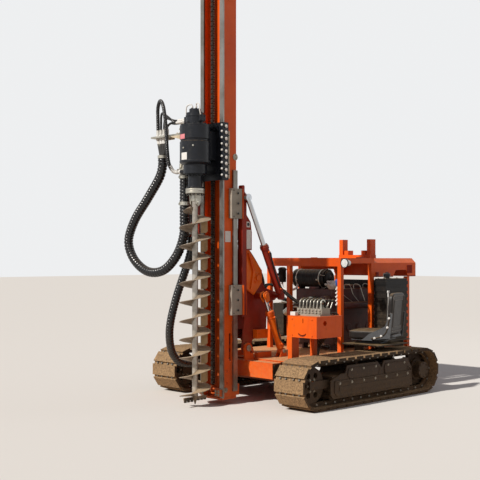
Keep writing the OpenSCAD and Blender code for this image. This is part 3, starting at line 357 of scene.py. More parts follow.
# Each recipe: the material's name, the slot of the pieces it is used on, its colour, the colour of its slow
# patches, its roughness, and what it needs beside coating()'s usual settings
RECIPES = {
    # Two-coat machine enamel over welded steel: the sun has faded it in slow patches, dust lies on ledges
    "red_enamel": ("orange_red_enamel", "body_paint", "#e45e0d", "#d5500c", 0.42, dict(
        ledge=0.3, low=0.25, low_z=0.7, wear="#7a3a22", worn=0.3, drip=0.12, patch=420, grain=1.6, bump=0.1,
        shine=0.3)),
    # The same enamel underfoot: boots and tracks leave their sand on it
    "trodden_enamel": ("trodden_deck_enamel", "body_paint", "#e45e0d", "#d5500c", 0.46, dict(
        dust="#c59d70", ledge=0.8, low=0.25, low_z=0.7, wear="#7a3a22", worn=0.35, drip=0.1, patch=180, grain=2.0,
        bump=0.14, shine=0.28)),
    # The same enamel painted brighter, as a sunlit copy of it: painted sunlight on the parts that take it
    "sunlit_orange": ("painted_sunlit_orange_enamel", "body_paint", "#f07413", "#e6650f", 0.4, dict(
        ledge=0.25, low=0.2, low_z=0.7, wear="#7a3a22", worn=0.25, drip=0.08, patch=200, grain=1.4, bump=0.08,
        shine=0.3)),
    # The same enamel painted darker, as a shaded copy of it for the boom, frames and parts in shade: painted shade,
    # chalky, with rain runs and rubbed edges
    "shaded_enamel": ("painted_shade_red_enamel", "body_paint", "#962610", "#7e1f0e", 0.46, dict(
        ledge=0.3, low=0.35, low_z=1.0, wear="#4a2016", worn=0.4, drip=0.15, patch=300, grain=1.8, bump=0.12,
        shine=0.3)),
    # Crawler steel: its paint is long gone from the treads, and soil is packed into it
    "track_steel": ("soil_caked_steel", "track_shoes", "#352c25", "#4c4034", 0.8, dict(
        dust="#b99871", ledge=0.12, low=0.18, low_z=0.5, wear="#5e4c3a", worn=0.5, patch=120, grain=3.0, bump=0.5,
        tread=0.45, shine=0.2)),
    # Undercarriage paint under dried mud: dark and dull
    "frame_brown": ("dark_undercarriage_paint", "undercarriage", "#281c16", "#382922", 0.62, dict(
        ledge=0.35, low=0.22, low_z=0.5, wear="#6a5140", worn=0.4, patch=160, grain=2.5, bump=0.3, shine=0.25)),
    # Baked black enamel with a blue cast: a thin gloss under light dust
    "head_black": ("blue_black_enamel", "head_black", "#12151b", "#1a1e26", 0.34, dict(
        ledge=0.22, low=0.0, wear="#4b443c", worn=0.25, patch=180, grain=1.4, coat=0.06, bump=0.1, shine=0.28)),
    # Satin black spray paint: soft highlights and dusty tops
    "tank_black": ("satin_black_paint", "black_parts", "#0f0f10", "#191818", 0.46, dict(
        ledge=0.35, low=0.2, low_z=1.2, wear="#5b5148", worn=0.2, patch=200, grain=1.5, bump=0.12, shine=0.22)),
    # Hot-rolled steel polished by sliding contact: bright streaks between light rust
    "rail_steel": ("polished_rail_steel", "track_shoes", "#8f8d88", "#76716a", 0.34, dict(
        metallic=0.85, ledge=0.25, low=0.2, wear="#6b5038", worn=0.35, drip=0.3, patch=260, grain=0.8, bump=0.08)),
    # Steel scoured by soil: dull grey metal with sand in its hollows
    "auger_steel": ("soil_scoured_steel", "bare_steel", "#a0968a", "#74695d", 0.5, dict(
        metallic=0.4, dust="#b39a78", ledge=0.42, low=0.4, low_z=1.2, wear="#4c3a2a", worn=0.5, patch=90, grain=1.6,
        bump=0.35)),
    # The auger's tube, kept bright by the sand that runs up it
    "stem_steel": ("sand_polished_steel", "bare_steel", "#b9b4ac", "#8c857b", 0.34, dict(
        metallic=0.65, dust="#b39a78", ledge=0.25, low=0.3, low_z=0.9, wear="#6a5f52", worn=0.35, patch=110,
        grain=1.4, bump=0.15)),
    # Plates that sand has crusted over, painted paler still for the sun on them: sand crust and painted sunlight, matt
    # and rough
    "sunlit_crusted_plate": ("sand_crusted_sunlit_plate", "bare_steel", "#b7a384", "#9a8567", 0.78, dict(
        dust="#c2a679", ledge=0.3, low=0.3, low_z=1.2, wear="#5c4a38", worn=0.4, patch=60, grain=1.4, bump=0.4,
        shine=0.2)),
    # Machined cast iron gone dull: flat grey with stains
    "block_grey": ("grey_cast_block", "bare_steel", "#a09b90", "#8a857a", 0.62, dict(
        metallic=0.1, ledge=0.35, low=0.0, wear="#6b5a48", worn=0.35, patch=120, grain=2.0, bump=0.25)),
    # Hard chrome, ground and polished: mirrors the surroundings
    "chrome_rod": ("hard_chrome", "rod_chrome", "#c9ccd0", "#b9bcc0", 0.1, dict(
        metallic=1.0, ledge=0.1, low=0.0, patch=200, grain=0.6, bump=0.02)),
    # Zinc-plated fittings: silky metal with a warm grey haze
    "zinc": ("zinc_plated_steel", "fittings", "#b9b7ae", "#a39f92", 0.38, dict(
        metallic=0.8, ledge=0.25, low=0.0, wear="#7a6a52", worn=0.25, patch=60, grain=0.8, bump=0.06)),
    # Powder-coated or plated pale parts: clean and slightly glossy
    "white_part": ("white_powder_coat", "fittings", "#dfe1e1", "#cfd0cd", 0.42, dict(
        ledge=0.3, low=0.0, wear="#8f8a80", worn=0.2, patch=150, grain=1.2, bump=0.05)),
    # Engine paint darkened by oil and heat: deep maroon with sooty patches
    "engine_maroon": ("maroon_engine_paint", "engine_red", "#4c1d1a", "#381615", 0.52, dict(
        ledge=0.35, low=0.15, low_z=1.0, wear="#2f2522", worn=0.5, patch=90, grain=2.0, bump=0.22)),
    # Oiled chain: dark metal with rubbed edges
    "chain_steel": ("oiled_chain_steel", "head_black", "#2b2724", "#3c352f", 0.42, dict(
        metallic=0.7, ledge=0.3, low=0.1, wear="#6b6258", worn=0.4, patch=40, grain=0.8, bump=0.1)),
    # Bolts whose zinc has dulled: greyish brown metal
    "bare_bolt": ("dull_zinc_bolt", "bare_steel", "#9d988c", "#857c6d", 0.5, dict(
        metallic=0.7, ledge=0.35, low=0.2, wear="#6e4f34", worn=0.4, patch=30, grain=0.6, bump=0.05)),
    # Pale paint worn through at its edges
    "light_strip": ("pale_worn_paint", "bare_steel", "#c9bda6", "#b5a78d", 0.6, dict(
        ledge=0.3, low=0.0, wear="#6f5b48", worn=0.5, patch=60, grain=1.4, bump=0.1)),
    # Extruded plastic ribbon wound over the hoses: smooth and black with a sharp gloss
    "guard_plastic": ("black_spiral_guard", "hose_rubber", "#0d0e10", "#15161a", 0.22, dict(
        ledge=0.14, low=0.15, low_z=0.9, wear="#3a342c", worn=0.15, patch=160, grain=1.0, bump=0.05)),
    # Rubber hose and belt: matt black, grey with dust
    "rubber": ("black_rubber", "hose_rubber", "#1a1a1a", "#242322", 0.66, dict(
        ledge=0.4, low=0.25, wear="#4a443c", worn=0.25, patch=80, grain=1.2, bump=0.12)),
    # Grey paint of the seat's pressed pan: rubbed at its edges
    "seat_grey": ("grey_seat_pan_paint", "seat_frame", "#4b4e52", "#3c3f42", 0.5, dict(
        ledge=0.35, low=0.0, wear="#7c766c", worn=0.3, patch=90, grain=1.2, bump=0.08)),
    # Embossed black vinyl: a fine grain with a broad soft sheen
    "vinyl": ("black_seat_vinyl", "seat_vinyl", "#1c1918", "#272321", 0.42, dict(
        ledge=0.3, low=0.0, wear="#3b3a38", worn=0.15, patch=70, grain=0.9, bump=0.22, shine=0.25)),
    # Cord sewn into the seat's edges: its vinyl is chalked and rubbed grey
    "piping_vinyl": ("rubbed_piping_vinyl", "seat_vinyl", "#5a5550", "#48433f", 0.5, dict(
        ledge=0.3, low=0.0, wear="#2a2724", worn=0.3, patch=50, grain=0.9, bump=0.12)),
    # Moulded lamp lens: clear gloss over a pale body
    "clear_lens": ("moulded_lamp_lens", "lamp_white", "#e4e8ea", "#d4dade", 0.12, dict(
        ledge=0.15, low=0.0, patch=40, grain=0.8, bump=0.05, coat=0.6)),
    # A thin plate whose red has faded to pink
    "pink_plate": ("faded_red_plate", "fittings", "#d98a92", "#c9737c", 0.5, dict(
        ledge=0.2, low=0, wear="#8f6a62", worn=0.3, patch=40, grain=1.0, bump=0.04)),
    # Moulded blue plastic cap
    "blue_cap": ("blue_moulded_cap", "fittings", "#2c5aa8", "#244c92", 0.4, dict(
        ledge=0.2, low=0, patch=50, grain=0.8, bump=0.04)),
}


@functools.cache
def finish(key):
    """The material of one recipe, made once."""
    name, _slot, base, second, rough, own = RECIPES[key]
    return coating(name, base, second, rough, **own)


NODE_FINISHES = {
    "trodden_enamel": ("front_beam", "deck"),
    "red_enamel": ("engine_frame", "engine_hood", "mast_rest", "console", "mast_channel", "mast_head", "mast_foot"),
    # The fold brackets and boom cylinder barrels take the brighter copy of the enamel: painted sunlight
    "sunlit_orange": ("fold_brackets", "boom_cylinder_barrels"),
    # These take the darker copy of the enamel: painted shade
    "shaded_enamel": ("chassis_frame", "boom", "slide_frame", "tilt_cylinder_barrels", "hose_tray"),
    "track_steel": ("track_left", "track_right"),
    "frame_brown": ("track_frame_left", "track_frame_right", "front_idlers", "drive_sprockets", "track_rollers"),
    "head_black": ("carriage", "carriage_guides", "gearbox", "drive_motor", "slide_cylinder_barrel",
                   "slide_cylinder_rod"),
    "chain_steel": ("feed_chain",),
    "rail_steel": ("mast_rails",),
    "block_grey": ("guide_blocks", "valve_bank"),
    "stem_steel": ("auger_stem",),
    "auger_steel": ("auger_flight", "auger_bit"),
    "chrome_rod": ("boom_cylinder_rods", "tilt_cylinder_rods"),
    "zinc": ("hose_bracket", "control_levers"),
    "tank_black": ("side_platforms", "air_cleaner", "cooler", "hydraulic_tank", "fuel_tank"),
    "engine_maroon": ("engine_block",),
    "clear_lens": ("work_lamp",),
    "seat_grey": ("seat_pedestal",),
    "vinyl": ("seat_cushion", "seat_back"),
    "rubber": ("hose_loop", "over_hose", "supply_hose"),
}


def dress_nodes():
    """Gives every CAD node its finish."""
    for key, names in NODE_FINISHES.items():
        for name in names:
            mesh = NODES[name].data
            mesh.materials.clear()
            mesh.materials.append(finish(key))


# ---------------------------------------------------------------- stage

FLOOR_REACH = 60.0
BOUNCE = (0.50, 0.41, 0.33, 1.0)  # what the floor gives back to the rig, as sand does
SKY_LIGHT, SKY_SEEN = ((0.98, 0.92, 0.97, 1.0), 0.22), ((0.93, 0.94, 0.95, 1.0), 0.92)  # colour and strength
# Name, kind, place, the point it shines at, energy, size (an angle for the sun) and colour
LAMPS = [("key", "SUN", (7.0, -0.8, 6.6), (0, 0, 1.0), 4.1, 0.03, (1.0, 0.94, 0.86)),
         ("front_fill", "AREA", (7.0, 8.0, 5.0), (0.5, 0, 1.6), 10, 6.0, (1.0, 0.95, 0.98)),
         ("back_fill", "AREA", (-7.0, 4.0, 6.0), (0, 0, 1.2), 60, 5.0, (0.95, 0.97, 1.0))]
# The photograph's camera, fitted to the rig's parallel edges: level, 1.5 m up, its frame shifted by 19 pixels of 480
CAMERA_AT, CAMERA_TURN, LENS, LENS_RISE = (7.637, 6.809, 1.5), (90, 0, 135), 67.5, 19 / 480


def seen_directly(tree):
    """1 where a camera, glossy or transmitted ray looks, so that metal and lenses show the background too."""
    path = put(tree, "ShaderNodeLightPath")
    either = put(tree, "ShaderNodeMath", None, {0: path.outputs["Is Camera Ray"], 1: path.outputs["Is Glossy Ray"]},
                 operation="MAXIMUM")
    return put(tree, "ShaderNodeMath", None, {0: either.outputs[0], 1: path.outputs["Is Transmission Ray"]},
               operation="MAXIMUM").outputs[0]


class RIG_OT_stage(bpy.types.Operator):
    """Makes the floor, the lights and the photograph's camera"""
    bl_idname = "rig.stage"
    bl_label = "Stage"

    def execute(self, context):
        scene = context.scene
        settings = scene.rig_stage
        scene.view_settings.view_transform = "Standard"
        floor = bpy.data.meshes.new("floor")
        floor.from_pydata([(x * FLOOR_REACH, y * FLOOR_REACH, -0.001) for x, y in ((-1, -1), (1, -1), (1, 1), (-1, 1))],
                          [], [(0, 1, 2, 3)])
        ground = bpy.data.objects.new("floor", floor)
        scene.collection.objects.link(ground)
        material = bpy.data.materials.new("pale_floor")
        material.use_nodes = True
        tree = material.node_tree
        tree.nodes.clear()
        shown = put(tree, "ShaderNodeMix", {6: BOUNCE, 7: tuple(settings.floor) + (1.0,)},
                    {0: seen_directly(tree)}, data_type="RGBA")
        diffuse = put(tree, "ShaderNodeBsdfDiffuse", None, {"Color": shown.outputs[2]})
        put(tree, "ShaderNodeOutputMaterial", None, {"Surface": diffuse.outputs[0]})
        floor.materials.append(material)

        world = bpy.data.worlds.new("studio")
        scene.world = world
        world.use_nodes = True
        tree = world.node_tree
        tree.nodes.clear()
        fill, pale = [put(tree, "ShaderNodeBackground", {"Color": colour, "Strength": strength})
                      for colour, strength in (SKY_LIGHT, SKY_SEEN)]
        both = put(tree, "ShaderNodeMixShader", None, {0: seen_directly(tree), 1: fill.outputs[0], 2: pale.outputs[0]})
        put(tree, "ShaderNodeOutputWorld", None, {"Surface": both.outputs[0]})

        for name, kind, place, aim, energy, size, colour in LAMPS:
            data = bpy.data.lights.new(name, kind)
            data.energy = energy
            data.color = colour
            if kind == "SUN":
                data.angle = size
            else:
                data.size = size
            lamp = bpy.data.objects.new(name, data)
            scene.collection.objects.link(lamp)
            lamp.location = place
            way = np.array(aim) - np.array(place)
            lamp.rotation_mode = "QUATERNION"
            lamp.rotation_quaternion = Vector(way).to_track_quat("-Z", "Y")

        lens = bpy.data.cameras.new("camera")
        camera = bpy.data.objects.new("camera", lens)
        scene.collection.objects.link(camera)
        scene.camera = camera
        lens.sensor_width = 36.0
        lens.lens, lens.shift_y, lens.clip_end = LENS, LENS_RISE, 400.0
        camera.location = CAMERA_AT
        camera.rotation_mode = "XYZ"
        camera.rotation_euler = [math.radians(turn) for turn in CAMERA_TURN]
        return {"FINISHED"}


# ---------------------------------------------------------------- hoses

# The route points of part.scad, in metres
AUGER_X, BUNDLE_Y, BRACKET_Z, RUN_X, RUN_Y, PORT_Z = 1.475, -0.512, 2.780, 1.400, -0.250, 2.402
OVER_Y = BUNDLE_Y - 0.075
SUPPLY_X, SUPPLY_Y, TRAY_LOW, COLLAR_Z = 1.290, -0.265, 1.720, 2.565
SUPPLY_END = (0.840, -0.557, 0.335)
SERVICE_R, CORD_STEPS = 0.013, 90
LOOP_ROUTE = [(AUGER_X, BUNDLE_Y, COLLAR_Z - 0.0005), (AUGER_X, BUNDLE_Y, COLLAR_Z - 0.040),
              (AUGER_X, BUNDLE_Y, COLLAR_Z - 0.080), (1.480, -0.560, 2.360), (1.488, -0.745, 2.150),
              (1.496, -0.960, 1.920), (1.497, -1.065, 1.690), (1.490, -0.970, 1.490), (1.472, -0.760, 1.365),
              (1.450, -0.530, 1.380), (1.424, -0.350, 1.530), (RUN_X, -0.262, 1.740), (RUN_X, RUN_Y, 1.980),
              (RUN_X, RUN_Y, 2.420)]
OVER_ROUTE = [(AUGER_X, OVER_Y, BRACKET_Z + 0.0885), (AUGER_X, OVER_Y, BRACKET_Z + 0.125),
              (1.476, OVER_Y, BRACKET_Z + 0.175), (1.495, -0.565, 3.100), (1.525, -0.490, 3.165),
              (1.550, -0.410, 3.090), (1.560, -0.360, 2.890), (1.556, -0.345, 2.660), (1.532, -0.345, 2.500),
              (1.496, -0.328, 2.425), (AUGER_X, -0.290, PORT_Z), (AUGER_X, -0.250, PORT_Z), (AUGER_X, -0.2125, PORT_Z)]
SUPPLY_ROUTE = [(SUPPLY_X, SUPPLY_Y, TRAY_LOW + 0.0095), (SUPPLY_X, SUPPLY_Y, TRAY_LOW - 0.045),
                (SUPPLY_X, SUPPLY_Y, TRAY_LOW - 0.115), (1.300, -0.318, 1.440), (1.322, -0.470, 1.080),
                (1.312, -0.586, 0.760), (1.238, -0.650, 0.520), (1.120, -0.680, 0.385), (1.010, -0.688, 0.342),
                (0.925, -0.686, SUPPLY_END[2]), (0.864, -0.663, SUPPLY_END[2]), (SUPPLY_END[0], -0.612, SUPPLY_END[2]),
                (SUPPLY_END[0], -0.585, SUPPLY_END[2]), (SUPPLY_END[0], SUPPLY_END[1] - 0.0005, SUPPLY_END[2])]


def lay_hose(name, key, grid, body=None):
    """A hose made of one grid, smooth-shaded, riding on a body where one is given."""
    points, faces, uv = grid
    hose = piece(name, points, faces, key, body, uv=uv, smooth=True)
    return hose


def guarded(path, radius, turn, depth, sides):
    """A hose in a spiral guard: a flat ribbon wound round it, with a groove of the given depth where its edges
    meet, once every turn metres along the hose."""
    far = np.concatenate([[0], np.cumsum(np.linalg.norm(np.diff(path, axis=0), axis=1))])
    phase = (far[:, None] / turn + np.arange(sides)[None, :] / sides) % 1.0
    edge = np.abs(phase - 0.5) * 2
    groove = np.clip((edge - 0.62) / 0.30, 0, 1)
    groove = groove * groove * (3 - 2 * groove)
    ends = np.minimum(far, far[-1] - far)[:, None] > turn * 0.4
    return tube_grid(path, radius - depth * np.where(ends, groove, 0.4), sides)


class RIG_OT_hoses(bpy.types.Operator):
    """Makes the three guarded hose bundles and the four service hoses"""
    bl_idname = "rig.hoses"
    bl_label = "Hoses"

    def execute(self, context):
        s = context.scene.rig_hoses
        for name, node, route, radius, turn, body in (
                ("loop_bundle", "hose_loop", LOOP_ROUTE, s.loop, s.turn, None),
                ("over_hose_line", "over_hose", OVER_ROUTE, s.line, s.turn * 0.55, "carriage"),
                ("supply_bundle", "supply_hose", SUPPLY_ROUTE, s.supply, s.turn, "mast")):
            path = smooth_path(route, turn / 9)
            grid = guarded(path, radius, turn, radius * 0.15, 28 if radius > 0.03 else 16)
            hose = lay_hose(name, "guard_plastic", grid, body)
            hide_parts(node)
            if body is None:
                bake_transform(hose)
        self.service_hoses()
        return {"FINISHED"}

    def service_hoses(self):
        """Two pairs of hoses, the second of each beside the first: from the slide frame over the boom's rear plate,
        and on from there to the valve bank."""
        for name, bodies, beside, start, end, route in (
                ("slide_hose", ("slide_frame", "boom"), (0, 0.034, 0), (0.80, 0, 1.66), (0.48, 0, 1.26),
                 [(0.905, -0.034, 1.664), (0.860, -0.034, 1.668), (0.800, -0.032, 1.658), (0.720, -0.030, 1.606),
                  (0.620, -0.028, 1.500), (0.530, -0.026, 1.380), (0.482, -0.024, 1.280), (0.470, -0.024, 1.210),
                  (0.470, -0.024, 1.168)]),
                ("valve_hose", ("boom", "chassis"), (0.032, 0, 0), (0.44, 0.08, 1.22), (0.42, 0.52, 1.02),
                 [(0.470, 0.038, 1.168), (0.462, 0.038, 1.196), (0.430, 0.040, 1.218), (0.350, 0.046, 1.216),
                  (0.250, 0.080, 1.166), (0.196, 0.150, 1.094), (0.178, 0.225, 1.044), (0.196, 0.320, 1.012),
                  (0.290, 0.470, 0.988), (0.430, 0.580, 0.972), (0.530, 0.632, 0.965), (0.552, 0.646, 0.964)])):
            for k in range(2):
                path = smooth_path(np.array(route) + np.array(beside) * k, 0.012)
                hose = lay_hose("%s_%d" % (name, k + 1), "rubber", tube_grid(path, SERVICE_R, 14))
                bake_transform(hose)


# ---------------------------------------------------------------- shared trim

SIDES = (1, -1)


def weld(heap, a, b, radius=None):
    """A fillet bead from a to b, its radius rippling once a step of the torch."""
    a, b = np.asarray(a, float), np.asarray(b, float)
    count = max(4, int(np.linalg.norm(b - a) / 0.007))
    path = a + (b - a) * np.linspace(0, 1, count)[:, None]
    radii = (radius or bpy.context.scene.rig_paint.weld) * (1 + 0.2 * np.cos(2.4 * np.arange(count)))
    return heap.tube(path, radii, 6)


def weld_loop(heap, corners, radius=None):
    """A bead along each side of a closed outline."""
    for a, b in zip(corners, corners[1:] + corners[:1]):
        weld(heap, a, b, radius)
    return heap


def frame_corners(x0, x1, y0, y1, z):
    """The corners of a level rectangle."""
    return [(x0, y0, z), (x1, y0, z), (x1, y1, z), (x0, y1, z)]


def bolts(heap, places, axis, radius=None, height=0.008):
    """A bolt head at each place, of the usual size where no radius is given."""
    for place in places:
        heap.bolt(place, axis, radius or bpy.context.scene.rig_paint.bolt, height)
    return heap


def around(centre, radius, angle, axis):
    """The places at each angle on a circle about one of the three axes, through centre."""
    spots = np.tile(np.asarray(centre, float), (len(angle), 1))
    first, second = [k for k in range(3) if k != axis]
    spots[:, first] += radius * np.cos(angle)
    spots[:, second] += radius * np.sin(angle)
    return spots


def ring_places(centre, radius, count, axis=2):
    """Evenly spaced places on a whole circle."""
    return around(centre, radius, TAU * np.arange(count) / count, axis)


def wrapped_plate(heap, centre, radius, middle, half, low, high, thick=0.002):
    """A thin plate bent round a vertical axis: angles in degrees about the axis, heights low to high."""
    angle = np.radians(np.linspace(middle - half, middle + half, 9))
    ring = np.stack([np.cos(angle), np.sin(angle)], 1)
    rows = []
    for r, z in ((radius, low), (radius + thick, low), (radius + thick, high), (radius, high)):
        rows.append(np.column_stack([centre[0] + r * ring[:, 0], centre[1] + r * ring[:, 1], np.full(len(ring), z)]))
    points = np.vstack(rows)
    n = len(ring)
    faces = [(a * n + k, (a + 1) % 4 * n + k, (a + 1) % 4 * n + k + 1, a * n + k + 1) for a in range(4)
             for k in range(n - 1)]
    faces += [tuple(a * n for a in (3, 2, 1, 0)), tuple(a * n + n - 1 for a in (0, 1, 2, 3))]
    return heap.add(points, faces)


def band(heap, foot, axis, inner, outer, length, sides=32):
    """A ring with square edges: a strap, a flange or a clamp about an axis."""
    profile = [(0, inner), (0, outer), (length, outer), (length, inner), (0, inner)]
    return heap.lathe(foot, axis, profile, sides, closed=False)


def ferrule(heap, foot, axis, radius, length):
    """A crimped hose end: hexagonal nut, neck and ringed ferrule."""
    heap.disc(foot, axis, radius * 1.15, length * 0.25, 6)
    rings = [(length * (0.25 + 0.75 * k / 9), radius * (1.0 if k % 2 else 0.9)) for k in range(10)]
    return heap.lathe(foot, axis, rings, 16)


# ---------------------------------------------------------------- mast

CHAIN_X, CHAIN_Y, CHAIN_LOW, CHAIN_HIGH, CHAIN_LINKS = 1.1925, -0.035, 0.190, 4.680, 89
MAST_BACK, MAST_FRONT, MAST_HALF, MAST_LOW, MAST_HIGH = 1.040, 1.245, 0.155, 0.070, 4.800
CAP_TOP = 4.814  # upper face of the plate that closes the mast


class RIG_OT_mast(bpy.types.Operator):
    """Dresses the mast: outer chain links and pins, welds, blank label, bolts, hose clamps and the tray's pipes"""
    bl_idname = "rig.mast"
    bl_label = "Mast trim"

    def execute(self, context):
        step = (CHAIN_HIGH - CHAIN_LOW) / CHAIN_LINKS
        bend = np.radians(np.linspace(-90, 90, 7))
        cap = np.stack([0.013 * np.sin(bend), 0.013 * np.cos(bend)], 1)
        links, pins = heaps(2)
        for k in range(CHAIN_LINKS):
            for share in (0.25, 0.75):
                z = CHAIN_LOW + (k + share) * step
                pins.lathe((CHAIN_X, CHAIN_Y - 0.021, z), LEFT, [(0, 0.004), (0.002, 0.0065), (0.040, 0.0065),
                                                                 (0.042, 0.004)], 10)
            low, high = CHAIN_LOW + (k + 0.75) * step, CHAIN_LOW + (k + 1.25) * step
            if k < CHAIN_LINKS - 1:
                top = np.column_stack([CHAIN_X + cap[:, 0], high + cap[:, 1]])
                foot = np.column_stack([CHAIN_X - cap[:, 0], low - cap[:, 1]])
                for s in SIDES:
                    y = CHAIN_Y + s * 0.0165
                    links.slab(np.vstack([top, foot]), y - 0.0015, y + 0.0015)
        links.make("chain_outer_links", "chain_steel", "mast")
        pins.make("chain_pins", "bare_bolt", "mast", slot="head_black")

        beads = Heap()
        for z in (MAST_LOW, MAST_HIGH):
            weld_loop(beads, frame_corners(MAST_BACK, MAST_FRONT, -MAST_HALF, MAST_HALF, z), 0.003)
        for s in SIDES:
            for z in np.arange(0.20, 2.32, 0.22):
                weld(beads, (1.101, s * 0.157, z), (1.101, s * 0.157, z + 0.07), 0.003)
            weld(beads, (1.075, s * 0.012, CAP_TOP), (1.205, s * 0.012, CAP_TOP))
            weld(beads, (1.162, -0.16, 2.415), (1.162, -0.16, 1.73))
        beads.make("mast_welds", "red_enamel", "mast", smooth=True)
        label = Heap().box((1.122, 0.1552, 1.675), (1.200, 0.1562, 1.788))
        label.make("mast_label", "white_part", "mast", bevel=0.0004)

        fasteners = Heap()
        for s in SIDES:
            bolts(fasteners, [(1.279, s * 0.12 + d, z) for d in (-0.02, 0.02) for z in (0.108, 0.142)], AHEAD)
            bolts(fasteners, [(1.07, s * 0.12, CAP_TOP), (1.215, s * 0.12, CAP_TOP)], UP)
            for z in (CHAIN_LOW - 0.04, CHAIN_HIGH + 0.04):
                band(fasteners, (CHAIN_X, s * MAST_HALF, z), (0, s, 0), 0.001, 0.026, 0.006, 20)
                bolts(fasteners, [(CHAIN_X, s * 0.161, z)], (0, s, 0), 0.010)
            band(fasteners, (1.055, s * MAST_HALF, 2.560), (0, s, 0), 0.001, 0.034, 0.005, 24)
            bolts(fasteners, ring_places((1.055, s * 0.160, 2.560), 0.022, 3, 1), (0, s, 0), 0.006, 0.004)
        fasteners.make("mast_bolts", "bare_bolt", "mast")

        clamps = Heap()
        for x, y, z, high, r in ((RUN_X, RUN_Y, 2.060, 0.036, 0.050), (RUN_X, RUN_Y, 2.340, 0.036, 0.050),
                                 (SUPPLY_X, SUPPLY_Y, TRAY_LOW + 0.010, 0.030, 0.046)):
            band(clamps, (x, y, z), UP, r, r + 0.005, high)
            bolts(clamps, [(x + d, y - r - 0.006, z + high / 2) for d in (-0.02, 0.02)], RIGHT, 0.008)
        clamps.box((1.172, -0.31, 2.420), (1.452, -0.19, 2.440))
        clamps.make("hose_clamps", "zinc", "mast", bevel=0.001)
        ends, pipes = heaps(2)
        for k in range(4):
            top = np.array([RUN_X + 0.024 * (1 if k % 2 else -1), RUN_Y + 0.024 * (1 if k > 1 else -1), 2.440])
            ferrule(ends, top, UP, 0.018, 0.055)
            y = -0.335 - 0.026 * k
            foot = np.array([SUPPLY_X + 0.022 * (1 if k % 2 else -1), SUPPLY_Y + 0.022 * (1 if k > 1 else -1), 1.760])
            route = [foot, foot + (0, 0, 0.05), (1.230, y + 0.03, 1.850), (1.184, y, 1.930), (1.184, y, 2.280),
                     (1.184, y, 2.420), (1.215, y + 0.02, 2.545), (1.33, (y + top[1]) / 2, 2.590),
                     (top[0], top[1], 2.555), (top[0], top[1], 2.495)]
            pipes.pipe(route, 0.012, 0.008, 10)
            ferrule(ends, foot, UP, 0.014, 0.045)
        ends.make("tray_fittings", "zinc", "mast")
        pipes.make("tray_pipes", "tank_black", "mast", smooth=True)
        return {"FINISHED"}


# ---------------------------------------------------------------- drill head

GEAR_LOW, GEAR_STEP, GEAR_HIGH, GEAR_R = 2.366, 2.456, 2.846, 0.156
CARRIAGE_LOW, CARRIAGE_HIGH, MOTOR_TOP = 2.308, 2.898, 3.026


